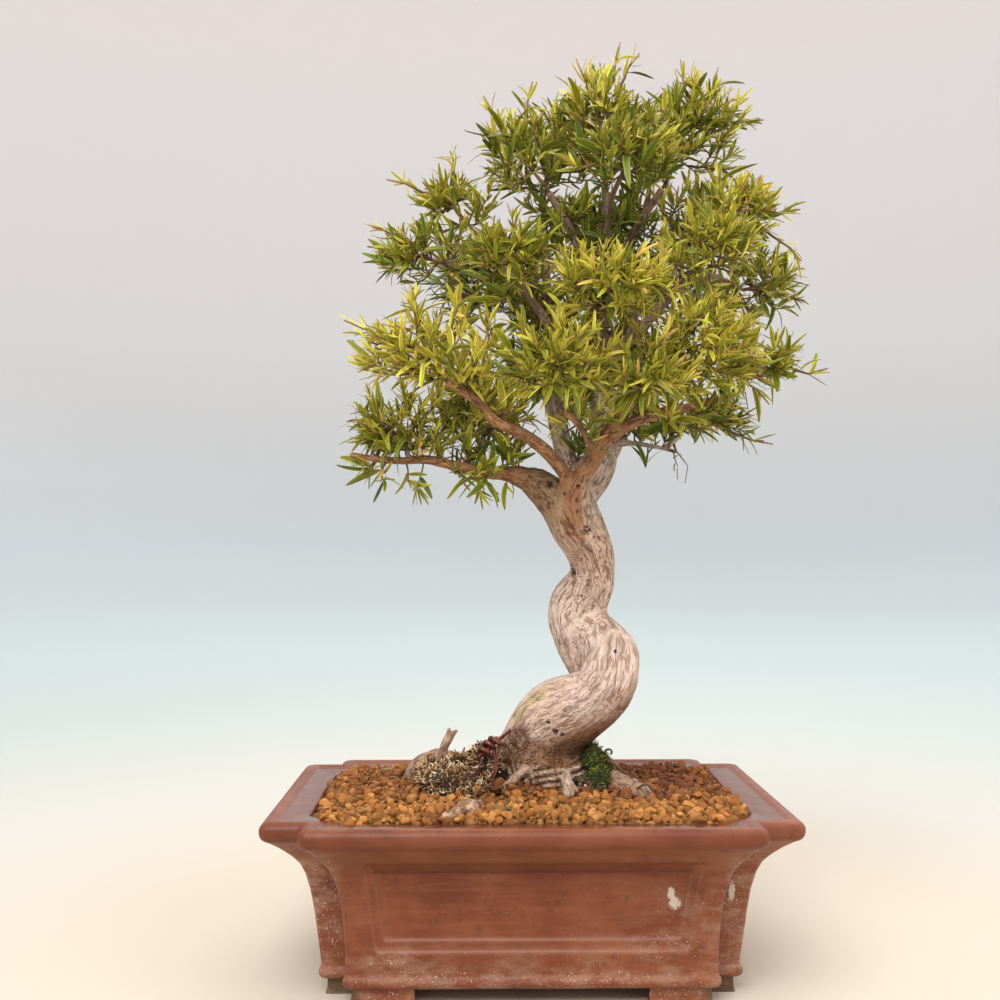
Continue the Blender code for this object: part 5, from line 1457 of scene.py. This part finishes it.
def dress_shoots(surface, pad, lower, middle, tips, leaves, rng, age=0.0, droop=0.0, spread=1.0):
    """Leaves along shoots, set round them by the golden angle, closer and steeper towards the tips.

    Each shoot runs from lower through middle to its tip. Age makes more of the leaves large and dark, and
    spread opens them out.
    """
    centre, size = (np.asarray(v, float) for v in PADS[pad][:2])
    yellow = PADS[pad][4]
    count = len(tips)
    direction = unit(tips - middle)
    k = np.arange(leaves)
    place = 1 - (k / leaves) ** 1.15
    first = np.clip(place * 2, 0, 1)[None, :, None]
    second = np.clip(place * 2 - 1, 0, 1)[None, :, None]
    foot = lower[:, None] + (middle - lower)[:, None] * first + (tips - middle)[:, None] * second
    foot = foot + rng.normal(0, 0.4, foot.shape)
    turn = k[None] * math.radians(GOLDEN_ANGLE) + rng.random((count, 1)) * FULL_TURN
    turn = turn + rng.normal(0, 0.35, (count, leaves))
    radial = around(direction, turn)
    opening = (0.28 + 0.82 * (1 - place))[None] * spread + rng.normal(0, 0.26, (count, leaves))
    way = direction[:, None] * np.cos(opening)[..., None] + radial * np.sin(opening)[..., None]
    way = unit(way + rng.normal(0, 0.15, way.shape) + (0, 0, 0.20 - droop))
    luck = rng.random((count, leaves))
    large = (luck < 0.03 + 0.13 * (1 - place)[None] + age) & ((place < 0.85)[None] | (age > 0.9))
    small = ~large & ((luck > 0.62) | (place > 0.9)[None])
    length = np.where(large, rng.uniform(*LARGE_LEAF, luck.shape), rng.uniform(*LEAF, luck.shape))
    length = np.where(small, rng.uniform(*SMALL_LEAF, luck.shape), length)
    width = np.where(large, length * rng.uniform(*LARGE_SHARE, luck.shape), rng.uniform(*LEAF_WIDTH, luck.shape))
    width = np.where(small, rng.uniform(*SMALL_WIDTH, luck.shape), width)
    face = unit(UP + rng.normal(0, 0.6, way.shape) + radial * -0.3)
    curl = rng.normal(0.10, 0.22, luck.shape) + (rng.random(luck.shape) < 0.14) * rng.uniform(0.2, 0.7, luck.shape)
    bend = rng.normal(0, 0.20, luck.shape)
    fold = rng.uniform(0.05, 0.7, luck.shape)
    # Leaves low and deep in the pad are greener, those at the outside and on top yellower
    high = ((foot - centre) / size)[..., 2]
    deep = 1 - norm((foot - centre) / size)
    inside = ease(norm((foot - CROWN_MIDDLE) / (125, 95, 160)), 0.95, 0.45)
    glow = yellow + 0.28 * high - 0.30 * deep - 0.35 * inside + rng.normal(0, 0.22, luck.shape) - 0.42 * large
    glow = glow + rng.normal(0, 0.14, (count, 1))
    old, green, fresh = (np.array(GREENS[name]) for name in ("old", "green", "yellow"))
    tone, rim = (mixed(old[k], green[k], ease(glow, -0.45, 0.20)) for k in (0, 1))
    tone = mixed(tone, fresh[0], ease(glow, 0.2, 0.95))
    rim = mixed(rim, fresh[1], ease(glow, 0.1, 0.8))
    draw = rng.random(luck.shape)
    gold = (draw < 0.04 + 0.08 * yellow) & ~large
    bronze = (draw > 0.93 - 0.05 * yellow) & small
    tone[gold], rim[gold] = GREENS["gold"]
    tone[bronze], rim[bronze] = GREENS["bronze"]
    shade = rng.uniform(0.74, 1.28, (*luck.shape, 1))
    tone, rim = tone * shade, np.minimum(rim * shade, 0.95)
    for chosen, sections in zip((large, ~large & ~small, small), LEAF_SECTIONS):
        if chosen.any():
            blades = (values[chosen] for values in (foot, way, face, length, width, curl, bend, fold))
            points, faces, uv, each = leaf_blades(*blades, sections)
            surface.add(points, faces, uv=uv, tone=np.repeat(tone[chosen], each, axis=0),
                        rim=np.repeat(rim[chosen], each, axis=0))


def add_twigs(surface, paths, radii, rng, sides=3):
    """Fine brown twigs, all at once, lighter towards their tips: the radii run along them, from foot to tip."""
    points, faces, each = thin_tubes(paths, np.broadcast_to(radii, paths.shape[:2]), sides)
    fresh = np.clip(np.linspace(-0.5, 1.0, each)[None] + rng.normal(0, 0.25, (len(paths), 1)), 0, 1)
    brown = mixed(TWIG_BROWN, TIP_BROWN, fresh) * rng.uniform(0.75, 1.25, (len(paths), 1, 1))
    surface.add(points, faces, tone=brown.reshape(-1, 3))


def stems(starts, ends, tips, lift=0.0):
    """Paths of six points: a bow from start to end, then straight on to the tip."""
    last = ends[:, None] + (tips - ends)[:, None] * np.array([0.5, 1.0])[None, :, None]
    return np.concatenate([bowed(starts, ends, np.broadcast_to(lift, starts.shape), 4), last], axis=1)


def grow(twigs, leaves, pad, parts, count, rng, thick=0.9, bare=0.35, bare_tip=0.0, **habit):
    """Stems from their starts through their ends to their tips, with leaves between the bare shares."""
    starts, ends, tips = parts
    lift = UP * rng.uniform(-1.5, 1.5, (len(starts), 1)) + rng.normal(0, 1.2, starts.shape)
    add_twigs(twigs, stems(starts, ends, tips, lift), thick * np.linspace(1.0, 0.5, 6)[None], rng)
    if count:
        dress_shoots(leaves, pad, starts + (ends - starts) * bare, ends, tips - (tips - ends) * bare_tip, count, rng,
                     **habit)


def foliage():
    """Every pad's leaves as one piece for its spray, and all the fine twigs as one piece."""
    twigs = Surface()
    leaf_finish, twig_finish = leaf(), toned("twig_bark", 700, (0.6, 0.5, 0.45), 0.0004, 0.8)
    for number, pad in enumerate(PADS):
        rng = np.random.default_rng(100 + number)
        leaves = Surface()
        centre, size = (np.asarray(v, float) for v in PADS[pad][:2])
        starts, ends = shoots_of(pad, rng)
        add_twigs(twigs, bowed(starts[:3], ends[:3], np.zeros(3), 5), np.linspace(1.5, 1.1, 5)[None], rng, 6)
        starts, ends = starts[3:], ends[3:]
        direction = unit(unit(ends - starts) * 0.5 + unit((ends - centre) / size) * 0.35
                         + unit((ends - CROWN_MIDDLE) * (1, 1, 0.8)) * 0.4 + (0, 0, 0.5)
                         + rng.normal(0, 0.22, ends.shape))
        tips = ends + direction * rng.uniform(5, 12, (len(ends), 1))
        grow(twigs, leaves, pad, (starts, ends, tips), LEAVES_PER_SHOOT, rng)
        whips = np.array(WHIPS.get(pad, []), float).reshape(-1, 3)
        if len(whips):
            begin = centre + (whips - centre) * 0.35
            bend = centre + (whips - centre) * 0.72 + rng.normal(0, 2.0, whips.shape)
            grow(twigs, leaves, pad, (begin, bend, whips), LEAVES_PER_WHIP, rng, 1.25, bare_tip=0.75)
        for owner, limb, low, high, count, spread, droop, age in LIMB_SHOOTS:
            if owner == pad:
                places = [limb_point(limb, share) for share in np.linspace(low, high, count)]
                roots, limb_ways = (np.array(v) for v in zip(*((row[:3], along) for row, along in places)))
                side = rng.normal(0, 1, (count, 3)) + (0, 0, 0.45 - 1.6 * droop)
                side = unit(side - limb_ways * (side * limb_ways).sum(axis=1, keepdims=True) * 0.7)
                middle = roots + side * rng.uniform(0.35, 1.0, (count, 1)) * spread
                tips = middle + unit(side + (0, 0, 0.9 - 2.0 * droop)) * rng.uniform(5, 10, (count, 1))
                grow(twigs, leaves, pad, (roots, middle, tips), LEAVES_PER_LIMB_SHOOT, rng, 0.8, 0.3, age=age,
                     droop=droop * 0.4)
        for owner, root, tip, count in HANGING_TUFTS:
            if owner == pad:
                root, tip = np.array([root], float), np.array([tip], float)
                grow(twigs, leaves, pad, (root, root + (tip - root) * 0.6, tip), count, rng, 0.7, 0.5, age=0.7,
                     droop=0.25, spread=1.6)
        leaves.piece("leaves_" + pad, leaf_finish, "leaf", ["spray_" + pad], sharp=60)
    for path in WHISKERS:
        starts, ends, tips = (np.array([place], float) for place in path)
        add_twigs(twigs, stems(starts, ends, tips), np.linspace(0.5, 0.3, 6)[None], rng)
    twigs.piece("twigs", twig_finish, "bark")


# ---- soil

def stone_shapes(count, rng):
    """Rough granule shapes: a cube's corners and face middles drawn onto a ball, dented by noise."""
    corners = np.array(list(itertools.product((-1, 1), repeat=3)), float)
    middles = np.concatenate([np.eye(3), -np.eye(3)])
    ball = unit(np.concatenate([corners, middles]))
    faces = []
    for m, middle in enumerate(middles):
        ring = [i for i, corner in enumerate(corners) if corner @ middle > 0]
        right = np.roll(np.abs(middle), 1)
        up = np.cross(middle, right)
        ring.sort(key=lambda i: math.atan2(corners[i] @ up, corners[i] @ right))
        faces += [(8 + m, ring[i], ring[(i + 1) % 4]) for i in range(4)]
    shapes = []
    for k in range(count):
        shape = ball * (1 + 0.34 * noise(ball * 1.6 + 11.7 * k, 5)[:, None] + rng.normal(0, 0.07, (len(ball), 1)))
        shapes.append(shape * rng.uniform(0.72, 1.15, 3))
    return np.array(shapes), np.array(faces)


def random_turns(count, rng):
    """Rotation matrices spread evenly over all turns, from random unit quaternions."""
    q = unit(rng.normal(size=(count, 4)))
    w, x, y, z = q.T
    return np.stack([1 - 2 * (y * y + z * z), 2 * (x * y - z * w), 2 * (x * z + y * w),
                     2 * (x * y + z * w), 1 - 2 * (x * x + z * z), 2 * (y * z - x * w),
                     2 * (x * z - y * w), 2 * (y * z + x * w), 1 - 2 * (x * x + y * y)], axis=1).reshape(-1, 3, 3)


def soil_top():
    """A function that gives the packed soil's height at places in millimetres."""
    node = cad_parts["soil"]
    tree = BVHTree.FromPolygons([v.co for v in node.data.vertices], [p.vertices for p in node.data.polygons])

    def height(x, y):
        start = Vector((x * MM + POT_MIDDLE[0], y * MM + POT_MIDDLE[1], 0.2))
        hit = tree.ray_cast(start, Vector((0, 0, -1)))[0]
        return None if hit is None else hit.z / MM
    return height


def soil_spots(rng):
    """Places for granules: two staggered grids with some scatter, a close one and a loose one, as x, y and layer."""
    spots = []
    for layer, spacing in ((0, GRAIN_SPACING), (1, GRAIN_SPACING * 1.6)):
        columns = np.arange(-SOIL_HALF_WIDTH, SOIL_HALF_WIDTH, spacing)
        lines = np.arange(-SOIL_HALF_DEPTH, SOIL_HALF_DEPTH, spacing * 0.87)
        x, y = np.meshgrid(columns, lines)
        x = x + (np.arange(len(lines))[:, None] % 2) * spacing / 2
        x = (x + rng.normal(0, spacing * 0.2, x.shape)).ravel()
        y = (y + rng.normal(0, spacing * 0.2, y.shape)).ravel()
        inside = (np.abs(x) < SOIL_HALF_WIDTH) & (np.abs(y) < SOIL_HALF_DEPTH) & (np.abs(x) + np.abs(y) < SOIL_CORNER)
        spots.append(together(x[inside], y[inside], layer))
    return np.vstack(spots)


def soil():
    """Granules scattered over the packed soil, clear of the wood and the moss; the dry ones lie in front."""
    rng = np.random.default_rng(5)
    height = soil_top()
    spots = soil_spots(rng)
    levels = np.array([height(x, y) or -1 for x, y, _ in spots])
    near_wood = Field([TRUNK, *ROOTS.values()]).blended(together(*spots.T[:2], SOIL_LEVEL + 1))[0]
    keep = ((levels > SOIL_LOWEST) | (near_wood < 6)) & (near_wood > 0.3)
    for middle, size in GREEN_CUSHIONS + DRY_CUSHIONS:
        keep &= norm((spots[:, :2] - middle[:2]) / (np.array(size[:2]) - 2.5)) >= 1
    levels = np.where(levels > SOIL_LOWEST, levels, SOIL_LEVEL)
    spots, levels, near_wood = spots[keep], levels[keep], near_wood[keep]
    count = len(spots)
    x, y, layer = spots.T
    left_front = ease(-x, 20, 110) * ease(-y, -10, 60)
    size = GRAIN_RADIUS[0] + (GRAIN_RADIUS[1] - GRAIN_RADIUS[0]) * rng.random(count) ** 1.1
    size = size * (1 - 0.16 * left_front)
    shapes, faces = stone_shapes(40, rng)
    chosen = shapes[rng.integers(0, len(shapes), count)] * size[:, None, None]
    turned = np.einsum("nij,npj->npi", random_turns(count, rng), chosen)
    (heap_x, heap_y), (reach_x, reach_y), heap_height = HEAP
    heaped = heap_height * np.exp(-((x - heap_x) / reach_x) ** 2 - ((y - heap_y) / reach_y) ** 2)
    points = turned + together(x, y, levels + size * 0.25 + layer * 2.6 + heaped)[:, None]
    damp = ease(y + 14 * noise(np.c_[spots[:, :2] / 22.0, layer * 0], 9), -52, 5)
    damp = np.clip(damp * (0.55 + 0.45 * (x > -20)) + 0.8 * ease(-near_wood, -12, -1), 0, 1)
    dry_tone = mixed(*DRY_GRAINS, rng.random(count))
    wet_tone = mixed(*WET_GRAINS, rng.random(count))
    tone = mixed(dry_tone, wet_tone, np.clip(damp + rng.normal(0, 0.2, count), 0, 1))
    # Granules of the lower, closer layer are darker: partly damp, partly painted shade under the loose upper layer
    tone = tone * rng.uniform(0.6, 1.25, (count, 1)) * (0.62 + 0.38 * layer)[:, None]
    tone[norm(spots[:, :2] - GREENED_GRAINS) < 5] = (0.17, 0.17, 0.07)
    heap_points, heap_tone = crumbs(rng, shapes)
    points, tone = np.concatenate([points, heap_points]), np.concatenate([tone, heap_tone])
    in_front = np.concatenate([y < 0, np.full(len(heap_tone), True)])
    each = points.shape[1]
    for name, part in (("soil_granules_front", in_front), ("soil_granules_back", ~in_front)):
        surface = Surface()
        surface.add(points[part], [repeated(faces, part.sum(), each)], tone=np.repeat(tone[part], each, axis=0))
        surface.piece(name, GRANULES, "soil", sharp=46)
    litter(height, rng)


def crumbs(rng, shapes):
    """Dark crumbs heaped against the trunk's foot, between its front root and the right lobe."""
    count = CRUMB_COUNT
    x, y = (rng.uniform(low, high, count) for low, high in CRUMB_AREA)
    foot = SOIL_LEVEL - 3
    top = SOIL_LEVEL + 12 * ease(y, -28, -9) * ease(x, 72, 40)
    centre = together(x, y, foot + (top - foot) * rng.uniform(0.4, 1, count))
    chosen = shapes[rng.integers(0, len(shapes), count)] * rng.uniform(0.7, 2.0, count)[:, None, None]
    points = np.einsum("nij,npj->npi", random_turns(count, rng), chosen) + centre[:, None]
    tone = mixed(*CRUMB_TONES, rng.random(count) ** 1.5)
    tone[rng.random(count) < 0.10] = (0.50, 0.40, 0.28)
    tone[rng.random(count) < 0.12] = (0.07, 0.10, 0.02)
    return points, tone


def litter(height, rng):
    """Pale dry straws and thin dark roots that lie on the granules."""
    surface = Surface()
    place = together(*(rng.uniform(low, high, STRAW_COUNT) for low, high in STRAW_AREA))
    level = np.array([height(x, y) or 0 for x, y in place])
    place, level = place[level > STRAW_LOWEST], level[level > STRAW_LOWEST]
    count = len(place)
    start = np.c_[place, level + 3.6]
    turn, length = rng.uniform(0, FULL_TURN, count), rng.uniform(4, 13, count)
    end = start + together(np.cos(turn) * length, np.sin(turn) * length, rng.normal(0, 0.8, count))
    paths = bowed(start, end, rng.normal(0, 1.3, (count, 3)), 6)
    radii = rng.uniform(0.22, 0.5, (count, 1)) * (0.6, 1, 1, 0.9, 0.8, 0.4)
    points, faces, each = thin_tubes(paths, radii, 5)
    tone = mixed(*STRAW_TONES, rng.random(count) ** 2)
    surface.add(points, faces, tone=np.repeat(tone, each, axis=0))
    for rows in THIN_ROOTS:
        points, faces, _ = swept(rows, 7, 1.2)
        surface.add(points, faces, tone=np.tile((0.13, 0.065, 0.035), (len(points), 1)))
    surface.piece("litter", bpy.data.materials["twig_bark"], "soil")


# ---- moss and wires

def cushion(surface, centre, size, tone, seed):
    """The body under moss strands: a ball of latitude rings, roughened by noise, in a dark tone that is painted shade
    seen between the strands.
    """
    rows, sides = 16, 28
    lat = np.linspace(0.04, math.pi - 0.04, rows)[:, None]
    lon = full_turn(sides)[None]
    ball = together(np.sin(lat) * np.cos(lon), np.sin(lat) * np.sin(lon), np.cos(lat))
    ball = np.concatenate([ball.reshape(-1, 3), [[0, 0, 1], [0, 0, -1]]])
    bumps = 1 + 0.14 * layered(ball * 2.4 + seed, 3, seed)
    points = ball * bumps[:, None] * size * 0.92 + centre
    k, last = np.arange(sides), (rows - 1) * sides
    caps = [together(k, np.roll(k, -1), rows * sides), together(last + np.roll(k, -1), last + k, rows * sides + 1)]
    surface.add(points, [grid_faces(rows, sides)[:, ::-1], *caps], tone=np.tile(tone, (len(points), 1)))


def strands(surface, centre, size, count, length, radius, curl, tones, rng, upward):
    """Short curled strands that stand out of a cushion's skin, their tones gathered in small patches."""
    ways = unit(even_directions(count, rng) + rng.normal(0, 0.05, (count, 3)))
    ways = ways[ways[:, 2] > -0.35]
    count = len(ways)
    foot = centre + ways * size * rng.uniform(0.80, 0.98, (count, 1))
    way = unit(unit(ways / size) + upward * UP + rng.normal(0, curl, (count, 3)))
    reach = rng.uniform(*length, count)
    end = foot + way * reach[:, None]
    paths = bowed(foot, end, rng.normal(0, curl, (count, 3)) * reach[:, None] * 0.7, 4)
    radii = rng.uniform(*radius, (count, 1)) * (1.0, 1.1, 0.8, 0.35)
    points, faces, each = thin_tubes(paths, radii, 3)
    rank = 0.5 + 0.75 * layered(foot / 5.0, 2, 17) + rng.normal(0, 0.24, count)
    chosen = tones[np.clip((rank * len(tones)).astype(int), 0, len(tones) - 1)] * rng.uniform(0.7, 1.3, (count, 1))
    surface.add(points, faces, tone=np.repeat(chosen, each, axis=0))


def mosses():
    """The green moss on the trunk's foot, and the curled dry moss and lichen over the left root."""
    rng = np.random.default_rng(8)
    # The dark body tones under the strands are painted shade between them
    moss = {
        "green_moss": ("green_moss_cushion", GREEN_CUSHIONS, (0.03, 0.05, 0.006), 4, 5.4,
                       ((1.4, 3.6), (0.22, 0.42), 0.6, GREEN_TONES, rng, 0.4), ("living_moss", 0.85)),
        "dry_moss": ("dry_moss_mass", DRY_CUSHIONS, (0.05, 0.03, 0.018), 9, 4.9,
                     ((2.0, 4.6), (0.36, 0.75), 1.1, DRY_TONES, rng, 0.05), ("dry_lichen", 0.95)),
    }
    for node, (name, cushions, body_shade_tone, first_seed, crowding, habit, (finish, roughness)) in moss.items():
        surface = Surface()
        for seed, (centre, size) in enumerate(cushions, start=first_seed):
            centre, size = np.array(centre, float), np.array(size, float)
            cushion(surface, centre, size, body_shade_tone, seed)
            strands(surface, centre, size, int(size.prod() ** (2 / 3) * crowding), *habit)
        surface.piece(name, toned(finish, 800, (0.6, 0.6, 0.55), 0.0003, roughness), node, [node])


def wires():
    """The twisted tie wire with its tail and its two legs, and the hooked end of another."""
    t = np.linspace(0, 1, 90)[:, None]
    axis = TWIST[0] + (TWIST[1] - TWIST[0]) * t + UP * TWIST_BOW * np.sin(math.pi * t)
    turn = 1.2 + t * 2 * math.pi * TWIST_TURNS
    coil = axis + TWIST_RADIUS * (np.cos(turn) * (0.60, 0.1, -0.79) + np.sin(turn) * (-0.3, 0.95, 0.0))
    coil = np.c_[coil, np.full(len(coil), STRAND_RADIUS)][::3]
    tie = Surface()
    for rows in (coil, *WIRE_CORE_AND_LEGS):
        tie.add(*swept(rows, 12, 1.2)[:2])
    tie.piece("twisted_tie_wire", wire("copper_wire", (0.25, 0.070, 0.048), (0.075, 0.020, 0.016), 0.5), "tie_wire",
              ["tie_wire"])
    hook = Surface()
    hook.add(*swept(HOOK, 10, 0.8)[:2])
    hook.piece("hooked_wire_end", wire("dark_wire", (0.20, 0.12, 0.09), (0.05, 0.035, 0.028), 0.3), "dark_wire",
               ["wire_end"])


# ---- stage, light and camera

def stage():
    """A pale floor that turns up into a backdrop all round, far enough out to stand behind every view."""
    sides = BACKDROP_SIDES
    radius, z = np.array(BACKDROP_PROFILE).T
    turn = full_turn(sides)
    rings = together(radius[:, None] * np.cos(turn), radius[:, None] * np.sin(turn), z[:, None])
    points = np.concatenate([rings.reshape(-1, 3), [[0, 0, 0]]])
    k = np.arange(sides)
    middle = together(k, np.roll(k, -1), len(points) - 1)
    mesh = bpy.data.meshes.new("floor")
    mesh.from_pydata(points.tolist(), [], grid_faces(len(radius), sides)[:, ::-1].tolist() + middle.tolist())
    mesh.shade_smooth()
    f = Finish("pale_paper", Roughness=0.9)
    x, y, z = f.parts(f.spot())
    # The ramp's lighter and darker bands are partly painted light
    travelled = f.math("DIVIDE", f.plus(f.math("SQRT", f.plus(f.times(x, x), f.times(y, y))), z), BACKDROP_REACH)
    stops = [(reach / BACKDROP_REACH, tone) for reach, tone in BACKDROP_TONES]
    mesh.materials.append(f.wear(f.ramp(travelled, *stops)))
    floor = new_object("floor", mesh)
    floor.visible_shadow = False


def lights():
    """One broad soft light above and in front, a weaker one from each side, and an even sky."""
    world = bpy.data.worlds.new("studio")
    world.use_nodes = True
    sky = world.node_tree.nodes["Background"].inputs
    sky[0].default_value, sky[1].default_value = SKY_COLOUR, SKY_STRENGTH
    bpy.context.scene.world = world
    for name, (place, size, power) in LAMPS.items():
        light = bpy.data.lights.new(name, "AREA")
        light.shape, light.size, light.energy = "SQUARE", size, power
        lamp = new_object(name, light)
        lamp.location = Vector(place)
        lamp.rotation_euler = (Vector(LAMP_TARGET) - Vector(place)).to_track_quat("-Z", "Y").to_euler()


def camera():
    """The photograph's camera."""
    lens = bpy.data.cameras.new("camera")
    lens.lens, lens.sensor_width = CAMERA_LENS, CAMERA_SENSOR
    lens.clip_start, lens.clip_end = 0.02, 20.0
    eye = new_object("camera", lens)
    eye.location = Vector(POT_MIDDLE + CAMERA_PLACE)
    up, right = math.radians(CAMERA_UP), math.radians(CAMERA_RIGHT)
    forward = Vector((math.sin(right) * math.cos(up), math.cos(right) * math.cos(up), math.sin(up)))
    eye.rotation_euler = forward.to_track_quat("-Z", "Y").to_euler()
    bpy.context.scene.camera = eye
    bpy.context.scene.view_settings.view_transform = "Standard"


BARK = bark()
GRANULES = granules()

camera()
stage()
lights()
pot()
trunk()
limbs()
foliage()
soil()
mosses()
wires()
for name, finish in (("soil", damp_bed()), ("drain_screen_left", mesh_plastic()), ("drain_screen_right", None)):
    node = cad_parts[name]
    node.data.materials.clear()
    node.data.materials.append(finish or bpy.data.materials["mesh_plastic"])
